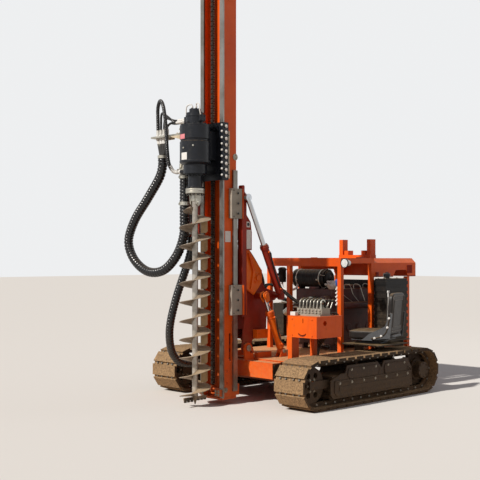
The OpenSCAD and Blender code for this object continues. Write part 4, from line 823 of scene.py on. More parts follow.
class RIG_OT_head(bpy.types.Operator):
    """Dresses the drill head: rings of bolts, blank plates, guide bolts, fittings and motor hoses"""
    bl_idname = "rig.head"
    bl_label = "Drill head trim"

    def execute(self, context):
        rings, screws = heaps(2)
        for z, inner, outer, high, sides in (
                (GEAR_HIGH, 0.110, 0.1545, 0.012, 48), (GEAR_STEP + 0.022, 0.150, 0.159, 0.020, 48),
                (GEAR_LOW - 0.012, 0.070, 0.098, 0.012, 40), (2.222, 0.060, 0.090, 0.012, 40),
                (GEAR_HIGH + 0.100, 0.080, 0.097, 0.016, 40)):
            band(rings, (AUGER_X, 0, z), UP, inner, outer, high, sides)
        for k in range(4):
            rings.box((AUGER_X - 0.004, 0.088, 2.925 + 0.02 * k), (AUGER_X + 0.004, 0.099, 2.933 + 0.02 * k))
        rings.make("head_rings", "head_black", "carriage", bevel=0.0015)
        bolts(screws, ring_places((AUGER_X, 0, GEAR_HIGH + 0.012), 0.138, 18), UP, 0.010, 0.010)
        bolts(screws, ring_places((AUGER_X, 0, GEAR_LOW - 0.012), 0.086, 12), DOWN, 0.008)
        bolts(screws, ring_places((AUGER_X, 0, MOTOR_TOP), 0.044, 6), UP, 0.007)
        for s, y in ((1, 0.120), (-1, -0.130)):
            seats = [(AUGER_X + d, y, z) for d in (-0.024, 0.024) for z in (2.906, 2.946)]
            bolts(screws, seats, (0, s, 0), 0.006, 0.005)
        screws.make("head_screws", "head_black", "carriage")

        column = Heap()
        for z in np.linspace(CARRIAGE_LOW + 0.04, CARRIAGE_HIGH - 0.04, 9):
            for s in SIDES:
                column.bolt((1.235, s * 0.209, z), (0, s, 0), 0.0125, 0.010)
                column.bolt((1.275, s * 0.186, z + 0.012), AHEAD, 0.0085, 0.007)
        column.make("guide_bolts", "white_part", "carriage")
        strip = Heap()
        for s in SIDES:
            strip.box((1.163, s * 0.176, CARRIAGE_LOW + 0.02), (1.193, s * 0.188, CARRIAGE_HIGH - 0.08))
        strip.make("guide_strips", "light_strip", "carriage", bevel=0.002)
        dots = Heap()
        for s in SIDES:
            bolts(dots, [(1.178, s * 0.188, z) for z in np.linspace(2.37, 2.77, 5)], (0, s, 0), 0.0045, 0.003)
        dots.make("strip_screws", "chain_steel", "carriage")

        for name, key, middle, half, low, high in (("gearbox_pink_plate", "pink_plate", -10, 16, 2.712, 2.760),
                                                   ("gearbox_white_plate", "white_part", 2, 14, 2.500, 2.572)):
            wrapped_plate(Heap(), (AUGER_X, 0.0), GEAR_R, middle, half, low, high).make(name, key, "carriage")
        plug = Heap()
        for degrees, z in ((0, 2.620), (-32, 2.820), (40, 2.640)):
            a = math.radians(degrees)
            out = np.array([math.cos(a), math.sin(a), 0.0])
            plug.bolt((AUGER_X + out[0] * 0.151, out[1] * 0.151, z), out, 0.010, 0.010)
        plug.make("gearbox_plugs", "zinc", "carriage")

        self.bracket()
        return {"FINISHED"}

    def bracket(self):
        """The hose plate's folded edge, nuts and fittings, and the hoses from it to the motor."""
        steel, ends, hoses, tails = heaps(4)
        steel.box((AUGER_X - 0.050, -0.647, BRACKET_Z - 0.022), (AUGER_X - 0.046, -0.372, BRACKET_Z))
        web = [(-0.372, BRACKET_Z), (-0.16, BRACKET_Z), (-0.16, BRACKET_Z - 0.05)]
        for s in SIDES:
            x = AUGER_X + s * 0.036
            steel.slab(web, x - 0.003, x + 0.003, axis=0)
        seats = [(AUGER_X + s * 0.03, y, BRACKET_Z + 0.018) for s in SIDES for y in (-0.20, -0.24)]
        bolts(steel, seats, UP, 0.009)
        steel.make("bracket_folds", "light_strip", "carriage", bevel=0.001)
        for k in range(4):
            y = BUNDLE_Y + 0.075 - 0.050 * k
            foot = np.array([AUGER_X, y, BRACKET_Z])
            way = np.array([AUGER_X, BUNDLE_Y + 0.3 * (0.075 - 0.05 * k), BRACKET_Z - 0.200]) - foot
            way = way / np.linalg.norm(way)
            ferrule(ends, foot + (0, 0, 0.018), UP, 0.0195, 0.066)
            ferrule(ends, foot, way, 0.0195, 0.060)
            tails.rod(foot + way * 0.058, foot + way * 0.200, 0.0178, 16, 6)
            if k < 3:
                start = foot + (0, 0, 0.088)
                side = 0.022 * (k - 1)
                port = np.array([AUGER_X + side, -0.262, 2.938 if k == 1 else 2.914])
                top = 2.925 + 0.055 * k
                rise = top - port[2]
                route = [start, (AUGER_X, y, (start[2] + top) / 2 - 0.01), (AUGER_X + side / 3, y + 0.014, top - 0.014),
                         (AUGER_X + side / 2, y + 0.050, top), (port[0], -0.350, port[2] + rise * 0.35),
                         (port[0], -0.300, port[2] + rise * 0.05), port]
                path = smooth_path(route, 0.0025)
                lay_hose("motor_hose_%d" % (k + 1), "guard_plastic", guarded(path, 0.0125, 0.015, 0.0010, 14),
                         "carriage")
                ferrule(ends, (port[0], -0.1295, port[2]), RIGHT, 0.0142, 0.1325)
        for s in SIDES:
            foot = (AUGER_X + 0.012, s * 0.030, MOTOR_TOP)
            ferrule(ends, foot, UP, 0.011, 0.030)
            drain = [foot, (foot[0], foot[1], 3.062), (foot[0] + 0.010, s * 0.050, 3.078),
                     (foot[0] + 0.020, s * 0.092, 3.060), (foot[0] + 0.018, s * 0.104, 3.000),
                     (AUGER_X + 0.020, s * 0.104, 2.958)]
            hoses.pipe(drain, 0.005, 0.0065, 10)
        elbow = smooth_path(OVER_ROUTE[-5:], 0.008)
        hoses.tube(elbow[4:-1], 0.0195, 16)
        band(ends, (AUGER_X, -0.2125, PORT_Z), RIGHT, 0.012, 0.027, 0.020, 6)
        tails.make("collar_hose_tails", "rubber", "carriage", smooth=True)
        ends.make("head_fittings", "white_part", "carriage", bevel=0.0006)
        hoses.make("port_elbow", "white_part", "carriage", smooth=True)


# ---------------------------------------------------------------- auger

FLIGHT_HIGH, FLIGHT_LOW, PITCH, STEM_R, FLIGHT_R = 2.030, 0.110, 0.190, 0.0306, 0.165
GUSSET_AT = 135  # degrees about the stem


def helix(angle, radius, height):
    """Places about the auger's axis, at each angle, radius and height."""
    return np.stack([AUGER_X + radius * np.cos(angle), radius * np.sin(angle), height], 1)


class RIG_OT_auger(bpy.types.Operator):
    """Makes the worn flight, its gusset plates, the forked coupling and the cutting teeth"""
    bl_idname = "rig.auger"
    bl_label = "Auger trim"

    def execute(self, context):
        turns = (FLIGHT_HIGH - FLIGHT_LOW) / PITCH
        t = np.linspace(0, turns, int(turns * 72) + 1)
        angle = -TAU * t
        ramp = np.minimum(1, (24 * t + 2) / 8)
        dent = 0.0022 * np.sin(7.3 * angle + 1.1) * np.sin(2.9 * angle) - 0.0022
        outer = STEM_R + (FLIGHT_R - STEM_R) * ramp + dent * ramp
        section = [(0.0, 0.0), (0.5, -0.0015), (0.94, 0.0), (1.0, -0.003), (1.0, -0.006), (0.94, -0.008), (0.5, -0.009),
                   (0.0, -0.010)]
        fall = FLIGHT_HIGH - PITCH * t
        warp = np.sin(1.7 * angle + 0.6)
        rows = [helix(angle, STEM_R + (outer - STEM_R) * share, fall + drop + 0.004 * share * warp)
                for share, drop in section]
        points = np.stack(rows, 1).reshape(-1, 3)
        faces = ring_faces(len(t), len(section))
        flight = piece("worn_flight", points, faces, "auger_steel", "auger", smooth=True)
        flight.data.set_sharp_from_angle(angle=math.radians(40))
        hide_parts("auger_flight")

        beads = Heap()
        for drop in (0.004, -0.014):
            beads.tube(helix(angle, 0.0335, fall + drop)[2:-2], 0.0045, 6)
        beads.make("flight_welds", "auger_steel", "auger", smooth=True)

        plates = Heap()
        near = math.radians(GUSSET_AT)
        out, across = np.array([math.cos(near), math.sin(near), 0.0]), np.array([-math.sin(near), math.cos(near), 0.0])
        corners = np.array([(0.060, -0.004), (0.128, -0.004), (0.128, -0.118), (0.112, -0.136), (0.060, -0.136)])
        m = len(corners)
        faces = [range(m), range(m, 2 * m)[::-1]] + [(k, k + m, (k + 1) % m + m, (k + 1) % m) for k in range(m)]
        for turn in range(9):
            z = FLIGHT_HIGH - 0.010 - PITCH * (turn + (360 - GUSSET_AT) / 360)
            side = np.array([AUGER_X, 0, z]) + corners[:, :1] * out + corners[:, 1:] * np.array(UP)
            plates.add(np.vstack([side - across * 0.004, side + across * 0.004]), faces)
        # The gussets take the pale crusted finish: real sand crust with painted sunlight
        plates.make("flight_gussets", "sunlit_crusted_plate", "auger", bevel=0.0015)

        fork, heads = heaps(2)
        fork.lathe((AUGER_X, 0, 2.085), UP, [(0, 0.031), (0.004, 0.040), (0.081, 0.040)], 6)
        arm = [(AUGER_X + x, z)
               for x, z in ((-0.034, 2.166), (0.034, 2.166), (0.026, 2.060), (0, 2.035), (-0.026, 2.060))]
        for s in SIDES:
            fork.slab(arm, s * 0.044 - 0.008, s * 0.044 + 0.008)
            band(fork, (AUGER_X, s * 0.052, 2.075), (0, s, 0), 0.001, 0.020, 0.008, 20)
        for z in (2.1675, 2.1935):
            band(fork, (AUGER_X, 0, z), UP, 0.085, 0.0975, 0.021, 48)
        fork.make("fork_coupling", "zinc", "auger", bevel=0.002)
        for place in ring_places((AUGER_X, 0, 2.1665), 0.078, 10):
            heads.stud(place, DOWN, 0.0124, 0.017, 0.020, 0.0100, 6)
        heads.make("flange_screws", "chain_steel", "auger", slot="bare_steel")
        teeth = Heap()
        for s in SIDES:
            for r in (0.060, 0.105, 0.148):
                teeth.box((AUGER_X + s * r - 0.014, s * 0.008, 0.052), (AUGER_X + s * r + 0.014, s * 0.026, 0.094))
        teeth.lathe((AUGER_X, 0, 0.022), UP, [(0, 0.006), (0.03, 0.016), (0.05, 0.022), (0.056, 0.019)], 4)
        teeth.make("cutting_teeth", "chain_steel", "auger", slot="bare_steel", bevel=0.003)
        return {"FINISHED"}


# ---------------------------------------------------------------- tracks

SHOE_R, AXLE_Z, FRONT_AXLE, REAR_AXLE = 0.226, 0.250, 0.860, -1.010
TRACK_Y, SHOE_COUNT, FRAME_HALF = 0.940, 36, 0.170


def loop_place(s, h):
    """Place and outward direction (X, Z) at distance s along the shoes' inner face, h outside it."""
    run, arc = FRONT_AXLE - REAR_AXLE, math.pi * SHOE_R
    s = s % (2 * run + 2 * arc)
    r = SHOE_R + h
    if s < run:
        return (REAR_AXLE + s, AXLE_Z + r), (0.0, 1.0)
    if s < run + arc:
        a = math.pi / 2 - (s - run) / SHOE_R
        return (FRONT_AXLE + r * math.cos(a), AXLE_Z + r * math.sin(a)), (math.cos(a), math.sin(a))
    if s < 2 * run + arc:
        return (FRONT_AXLE - (s - run - arc), AXLE_Z - r), (0.0, -1.0)
    a = -math.pi / 2 - (s - 2 * run - arc) / SHOE_R
    return (REAR_AXLE + r * math.cos(a), AXLE_Z + r * math.sin(a)), (math.cos(a), math.sin(a))


class RIG_OT_undercarriage(bpy.types.Operator):
    """Dresses the tracks: shoe bolts, link pins, frame covers, hub caps and welds"""
    bl_idname = "rig.undercarriage"
    bl_label = "Undercarriage trim"

    def execute(self, context):
        pitch = (2 * (FRONT_AXLE - REAR_AXLE) + TAU * SHOE_R) / SHOE_COUNT
        nuts, pins, lips = heaps(3)
        for s in SIDES:
            for i in range(SHOE_COUNT):
                (x, z), (nx, nz) = loop_place(i * pitch, 0.0)
                for across in (-0.125, -0.050, 0.050, 0.125):
                    nuts.stud((x, s * TRACK_Y + across, z), (nx, 0, nz), 0.012, 0.013, 0.016, 0.009, 6)
                (x, z), _out = loop_place((i + 0.5) * pitch, -0.026)
                for row in SIDES:
                    for end in SIDES:
                        pins.lathe((x, s * TRACK_Y + row * 0.075 + end * 0.017, z), (0, end, 0),
                                   [(0, 0.013), (0.006, 0.013), (0.008, 0.010)], 8)
        nuts.make("shoe_nuts", "rail_steel")
        pins.make("link_pins", "rail_steel")

        covers = ([(-0.730, 0.120), (0.560, 0.120), (0.600, 0.160), (0.600, 0.262), (-0.730, 0.262)],
                  [(-0.130, 0.282), (0.350, 0.282), (0.392, 0.318), (0.372, 0.384), (-0.095, 0.384), (-0.145, 0.350)],
                  [(-0.650, 0.282), (-0.250, 0.282), (-0.235, 0.350), (-0.262, 0.384), (-0.600, 0.384),
                   (-0.660, 0.335)])
        plates, screws, beads = heaps(3)
        for s in SIDES:
            face = s * (TRACK_Y + FRAME_HALF)
            outside = face + s * 0.005
            for outline in covers:
                plates.slab(outline, face, outside)
                weld_loop(beads, [(x, outside, z) for x, z in outline], 0.0035)
            for z, places in ((0.246, np.linspace(-0.66, 0.52, 7)), (0.372, (-0.60, -0.30, -0.08, 0.13, 0.33))):
                bolts(screws, [(x, outside, z) for x in places], (0, s, 0), 0.010, 0.007)
            lips.slab([(-0.735, 0.262), (0.600, 0.262), (0.600, 0.274), (-0.735, 0.274)], face, face + s * 0.012)
            hook = around((-0.690, face + s * 0.004, 0.280), 0.034, np.radians(np.linspace(200, -30, 12)), 1)
            lips.tube(hook, 0.006, 8)
        plates.make("frame_covers", "frame_brown", bevel=0.0015)
        screws.make("frame_bolts", "bare_bolt", slot="undercarriage")
        beads.make("frame_welds", "frame_brown", smooth=True)
        lips.make("frame_lips", "frame_brown", bevel=0.0015)

        caps, rims = heaps(2)
        for s in SIDES:
            for end in SIDES:
                y = s * TRACK_Y + end * 0.098
                caps.lathe((FRONT_AXLE, y, AXLE_Z), (0, end, 0),
                           [(0, 0.044), (0.010, 0.042), (0.016, 0.030), (0.018, 0.004)], 28)
                bolts(rims, ring_places((FRONT_AXLE, y - end * 0.004, AXLE_Z), 0.062, 6, 1), (0, end, 0), 0.009, 0.008)
        # The caps take the brighter, sunlit copy of the enamel: painted sunlight
        caps.make("idler_caps", "sunlit_orange", slot="undercarriage", smooth=True)
        rims.make("idler_bolts", "bare_bolt", slot="undercarriage")
        return {"FINISHED"}


# ---------------------------------------------------------------- mast carriers

# How far out the flanges of the lower and upper guide blocks reach; the upper ones pass the tilt rods' eyes
FLANGE_Y = (0.224, 0.212)
BLOCK_FEET = (0.920, 1.920)  # lower edges of the guide blocks

# Foot pin and rod eye of each pair of cylinders, X and Z at rest, and their distance from the middle plane
BOOM_PINS, TILT_PINS = ((0.446, 0.508), (0.710, 1.110)), ((0.440, 1.100), (0.950, 2.140))
BOOM_Y, TILT_Y = 0.250, 0.235

# Distance from the foot pin to the open end of each barrel
BARREL_LENGTH = {"boom_barrels": 0.480, "tilt_barrels": 0.612}


class RIG_OT_carrier(bpy.types.Operator):
    """Dresses the boom, the front beam and the slide frame: labels, flanges, pin keepers, clevises and lines"""
    bl_idname = "rig.carrier"
    bl_label = "Boom and slide frame trim"

    def execute(self, context):
        labels, dots, strips, dark, keepers, beads = heaps(6)
        boss = [(0.668, 1.272), (0.700, 1.237), (0.765, 1.243), (0.794, 1.290), (0.775, 1.355), (0.705, 1.362)]
        for s in SIDES:
            labels.box((0.862, s * 0.1982, 1.606), (0.934, s * 0.1992, 1.806))
            labels.box((0.880, s * 0.1982, 1.832), (0.930, s * 0.1992, 1.892))
            dots.stud((0.905, s * 0.1992, 1.862), (0, s, 0), 0.018, 0.001, 0.0014, 0.016, 24)
            for z, reach in zip(BLOCK_FEET, FLANGE_Y):
                strips.box((0.986, s * 0.2052, z), (0.999, s * reach, z + 0.310))
                for k in range(3):
                    dark.lathe((1.0675, s * 0.213, z + 0.050 + 0.105 * k), (0, s, 0), [(0, 0.0115), (0.006, 0.011),
                                                                                       (0.008, 0.006)], 18)
                for up in (0.020, 0.290):
                    dark.stud((1.122, s * 0.205, z + up), (0, s, 0), 0.006, 0.004, 0.008, 0.003, 10)
            keepers.slab(boss, s * 0.161, s * 0.169)
            bolts(keepers, ring_places((0.731, s * 0.169, 1.300), 0.048, 6, 1), (0, s, 0), 0.008, 0.006)
            weld(beads, (0.937, s * 0.2065, 0.915), (0.937, s * 0.2065, 1.590), 0.003)
            weld(beads, (0.952, s * 0.148, 0.905), (0.952, s * 0.148, 2.140), 0.003)
            weld(beads, (0.786, s * 0.178, 1.378), (0.857, s * 0.178, 1.560))
            weld(beads, (0.808, s * 0.178, 1.378), (0.876, s * 0.178, 1.560))
        labels.make("blank_labels", "white_part", "slide_frame", bevel=0.0004)
        dots.make("label_dots", "head_black", "slide_frame", slot="black_parts")
        strips.make("block_flanges", "red_enamel", "slide_frame", bevel=0.0015)
        dark.make("block_screws", "head_black", "slide_frame")
        # The pin bosses take the brighter copy of the enamel: painted sunlight
        keepers.make("fold_pin_bosses", "sunlit_orange", "slide_frame", bevel=0.0015)
        beads.make("slide_frame_welds", "red_enamel", "slide_frame", smooth=True)

        beam, caps, seams, ends = heaps(4)
        pin = BOOM_PINS[0]
        for s in SIDES:
            caps.stud((0.865, s * 0.169, 0.560), (0, s, 0), 0.034, 0.005, 0.007, 0.030, 24)
            beam.box((0.812, s * 0.1615, 0.505), (0.836, s * 0.172, 0.530))
            bolts(beam, [(0.824, s * 0.172, 0.5175)], (0, s, 0), 0.007)
            for x0, x1, y0, y1, z in ((0.779, 0.900, 0.136, 0.162, 0.431), (0.540, 0.750, 0.140, 0.190, 0.449)):
                weld_loop(seams, frame_corners(x0, x1, s * y0, s * y1, z))
            caps.stud((pin[0], s * 0.290, pin[1]), (0, s, 0), 0.022, 0.006, 0.008, 0.018, 20)
        # A black plate on the beam's near end: painted shade where the hollow tube's end lies dark
        ends.box((0.784, 0.5448, 0.279), (0.896, 0.5475, 0.421))
        bolts(ends, [(x, 0.5475, z) for x in (0.800, 0.880) for z in (0.295, 0.405)], LEFT, 0.007, 0.006)
        weld(seams, (0.776, -0.544, 0.431), (0.776, 0.544, 0.431))
        weld(seams, (0.904, -0.544, 0.431), (0.904, 0.544, 0.431), 0.003)
        # The pads take the darker copy of the enamel: painted shade
        beam.make("front_beam_pads", "shaded_enamel", bevel=0.0015)
        ends.make("front_beam_end_shade", "tank_black", bevel=0.001)
        caps.make("pin_caps", "bare_bolt")
        seams.make("front_beam_welds", "red_enamel", smooth=True)
        lugs = Heap()
        for s in SIDES:
            lugs.box((0.600, s * 0.1355, 0.655), (0.768, s * 0.194, 0.745))
            lugs.box((0.594, s * 0.1355, 0.745), (0.774, s * 0.199, 0.751))
            bolts(lugs, [(x, s * 0.194, 0.700) for x in (0.632, 0.736)], (0, s, 0), 0.010)
        # The side lugs take the brighter copy of the enamel: painted sunlight
        lugs.make("boom_side_lugs", "sunlit_orange", "boom", bevel=0.002)
        self.cylinders()
        return {"FINISHED"}

    def cylinders(self):
        """Clevises, gland rings and pipes of the four cylinders."""
        for body, foot, head, y, r, length in (
                ("boom_barrels", *BOOM_PINS, BOOM_Y, 0.040, 0.05), ("tilt_barrels", *TILT_PINS, TILT_Y, 0.034, 0.06)):
            foot, head = np.array(foot), np.array(head)
            way = (head - foot) / np.linalg.norm(head - foot)
            side = np.array([way[1], -way[0]])
            rings, lines = heaps(2)
            for s in SIDES:
                axis = (way[0], 0, way[1])

                def on(d, out=0.0, lift=0.0):
                    """A place d along the cylinder, out to its upper side and lift away from the machine."""
                    p = foot + way * d + side * out
                    return np.array([p[0], s * (y + lift), p[1]])
                gland = BARREL_LENGTH[body]
                band(rings, on(gland - length), axis, r * 0.7, r + 0.006, length - 0.004, 32)
                for k in range(3):
                    band(rings, on(gland - length + 0.012 + 0.012 * k), axis, r * 0.7, r + 0.0085, 0.004, 32)
                for d in (0.085, gland - length - 0.03):
                    band(rings, on(d), axis, r * 0.7, r + 0.005, 0.012, 28)
                    rings.stud(on(d + 0.006, 0, r), (0, s, 0), 0.012, 0.018, 0.024, 0.010, 12)
                route = [on(gland - length - 0.024, 0, r + 0.02), on(gland - length - 0.04, 0.004, r + 0.034),
                         on(gland - length - 0.08, 0.010, r + 0.030), on(gland * 0.5, 0.012, r + 0.012),
                         on(0.16, 0.012, r + 0.012), on(0.11, 0.006, r + 0.024), on(0.091, 0.0, r + 0.018)]
                lines.pipe(route, 0.01, 0.008, 10)
            rings.make(body + "_glands", "red_enamel", body, bevel=0.0006)
            lines.make(body + "_pipes", "tank_black", body, smooth=True)
        clevis = Heap()
        foot, eye = BOOM_PINS
        way = np.subtract(eye, foot) / np.linalg.norm(np.subtract(eye, foot))
        cheek = [(eye[0] + way[0] * a + way[1] * b, eye[1] + way[1] * a - way[0] * b)
                 for a, b in ((-0.068, -0.026), (-0.068, 0.026), (0.010, 0.044), (0.044, 0.026), (0.044, -0.026),
                              (0.010, -0.044))]
        for s in SIDES:
            for out in (-0.030, 0.022):
                clevis.slab(cheek, s * (BOOM_Y + out), s * (BOOM_Y + out + 0.012))
            band(clevis, (eye[0], s * 0.286, eye[1]), (0, s, 0), 0.001, 0.030, 0.008, 24)
        # The clevises take the brighter copy of the enamel: painted sunlight
        clevis.make("boom_rod_clevises", "sunlit_orange", "boom_rods", bevel=0.002)


# ---------------------------------------------------------------- operator's place

SEAT_AT, SEAT_TURN, SEAT_HALF = (-0.505, 0.775), math.radians(-73), 0.2143
CONSOLE_FRONT, CONSOLE_Y, CONSOLE_W, CONSOLE_TOP, LEVERS = 0.746, 0.614, 0.386, 0.920, 7


def seat_frame(points):
    """Points of the seat's own frame, X forward, placed in the machine's frame."""
    points = np.asarray(points, float).reshape(-1, 3)
    c, s = math.cos(SEAT_TURN), math.sin(SEAT_TURN)
    x, y = points[:, 0], points[:, 1]
    return np.column_stack([SEAT_AT[0] + c * x - s * y, SEAT_AT[1] + s * x + c * y, points[:, 2]])


def round_block(n, power):
    """Points and faces of a block from -1 to 1 whose edges are rounded: the cube's surface grid divided by its
    power norm, (|x|^p + |y|^p + |z|^p)^(1/p)."""
    t = np.linspace(-1, 1, n + 1)
    a, b = np.meshgrid(t, t, indexing="ij")
    one = np.ones_like(a)
    sides = [(one, a, b), (-one, b, a), (b, one, a), (a, -one, b), (a, b, one), (b, a, -one)]
    points = np.vstack([np.stack(side, -1).reshape(-1, 3) for side in sides])
    i, k = np.meshgrid(np.arange(n), np.arange(n), indexing="ij")
    quad = np.stack([i * (n + 1) + k, (i + 1) * (n + 1) + k, (i + 1) * (n + 1) + k + 1, i * (n + 1) + k + 1], -1)
    faces = np.vstack([quad.reshape(-1, 4) + side * (n + 1) ** 2 for side in range(6)])
    _keys, first, same = np.unique(np.round(points, 6), axis=0, return_index=True, return_inverse=True)
    points, faces = points[first], np.ravel(same)[faces]
    return points / (np.abs(points) ** power).sum(1)[:, None] ** (1 / power), faces


def piping(heap, corners, radius=0.0045, bend=0.03):
    """A round cord sewn round a closed outline of corners, each corner turned with a small bend."""
    corners = np.asarray(corners, float)
    path = []
    for k in range(len(corners)):
        here, before, after = corners[k], corners[k - 1], corners[(k + 1) % len(corners)]
        a = (before - here) / np.linalg.norm(before - here)
        b = (after - here) / np.linalg.norm(after - here)
        for t in np.linspace(0, 1, 6):
            path.append((1 - t) ** 2 * (here + a * bend) + 2 * t * (1 - t) * here + t * t * (here + b * bend))
    path.append(path[0])
    return heap.tube(np.array(path), radius, 8)


def stitching(run, y, places, width):
    """How deep the cross seams at some places of a pad's run sink, and how deep the seams along its two sides."""
    across = sum(np.exp(-((run - place) / width) ** 2) for place in places) * (np.abs(y) < 0.72)
    return across, np.exp(-((np.abs(y) - 0.74) / 0.04) ** 2) * (np.abs(run) < 0.8)


def pad(name, points, faces, node):
    """A padded piece of the seat that shows in place of its solid."""
    made = piece(name, seat_frame(points), faces, "vinyl", smooth=True)
    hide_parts(node)


def back_faces(z):
    """Where the seat back's rear and front faces lie, forward of the seat's middle, at height z."""
    h = (z - 0.680) / 0.450
    return -0.258 - 0.036 * h, -0.213 - 0.020 * h


class RIG_OT_seat(bpy.types.Operator):
    """Makes the padded cushion and back with their seams, and the seat's brackets and bolts"""
    bl_idname = "rig.seat"
    bl_label = "Seat"

    def execute(self, context):
        unit, faces = round_block(40, 7)
        x, y, z = unit.T
        crown = (1 - x ** 2) * (1 - y ** 2)
        seam, rim = stitching(x, y, (-0.42, 0.02, 0.46), 0.035)
        top = np.clip(z, 0, 1)
        height = 0.6205 + (z + 1) / 2 * 0.094 + top * (0.015 * crown - 0.010 * seam - 0.008 * rim)
        cushion = np.column_stack([0.012 + 0.222 * x, SEAT_HALF * y * (1 - 0.02 * (1 - x ** 2)), height])
        pad("padded_cushion", cushion, faces, "seat_cushion")

        high = 0.680 + (z + 1) / 2 * 0.448
        rear, front = back_faces(high)
        seam, rim = stitching(z, y, (-0.45, 0.0, 0.45), 0.03)
        bulge = np.clip(x, 0, 1) * (0.014 * (1 - z ** 2) * (1 - y ** 2) - 0.008 * seam - 0.006 * rim)
        thick = (rear + (front - rear) * (x + 1) / 2) + bulge - 0.006 * np.clip(x, 0, 1)
        back = np.column_stack([thick, SEAT_HALF * y * (1 - 0.04 * np.clip(z, 0, 1) ** 4), high])
        pad("padded_back", back, faces, "seat_back")

        cords, steel, screws, shell = heaps(4)
        for inset, z0, z1 in ((0.028, 0.712, 1.098), (0.070, 0.760, 1.050)):
            w = SEAT_HALF - inset
            ring = [(back_faces(z)[0] - 0.001, y, z) for y, z in ((-w, z0), (w, z0), (w, z1), (-w, z1))]
            piping(cords, seat_frame(ring))
        for s in SIDES:
            w = s * 0.205
            line = [(back_faces(z)[1] - 0.002, w, z) for z in np.linspace(0.72, 1.09, 12)]
            cords.tube(seat_frame(line), 0.0045, 8)
        piping(cords, seat_frame([(-0.19, -0.208, 0.704), (0.215, -0.208, 0.704), (0.215, 0.208, 0.704),
                                  (-0.19, 0.208, 0.704)]))
        cords.make("seat_piping", "piping_vinyl", smooth=True)
        for s in SIDES:
            y = s * 0.2335
            for x, z in ((-0.255, 0.860), (-0.235, 0.760), (-0.165, 0.665), (-0.090, 0.640)):
                place, ahead = seat_frame([(x, y, z), (x, y + s, z)])
                screws.bolt(place, ahead - place, 0.009, 0.007)
            arm = [(x, s * 0.226, z) for x, z in ((-0.262, 0.905), (-0.246, 0.800), (-0.215, 0.700), (-0.150, 0.652),
                                                  (-0.050, 0.632))]
            steel.tube(seat_frame(smooth_path(arm, 0.01)), 0.008, 10)
        for x in (-0.13, 0.13):
            rail = seat_frame([(x, -0.17, 0.6045), (x, 0.17, 0.6045)])
            steel.rod(rail[0], rail[1], 0.0055, 8, 6)
        tube = seat_frame([(-0.245, -0.150, 0.655), (-0.245, 0.150, 0.655)])
        shell.rod(tube[0], tube[1], 0.019, 16, 8)
        for s in SIDES:
            foot = seat_frame([(-0.245, s * 0.12, 0.655), (-0.130, s * 0.12, 0.615)])
            shell.rod(foot[0], foot[1], 0.010, 10, 5)
        for k in range(5):
            z = 0.588 + 0.005 * k
            reach = 0.088 if k % 2 else 0.095
            shell.box((-reach, -reach, z - 0.0025), (reach, reach, z + 0.0025))
            shell.points[-1] = seat_frame(shell.points[-1])
        steel.make("seat_arms", "tank_black", slot="seat_frame", smooth=True)
        screws.make("seat_screws", "white_part")
        shell.make("seat_base_folds", "seat_grey", smooth=True)
        return {"FINISHED"}


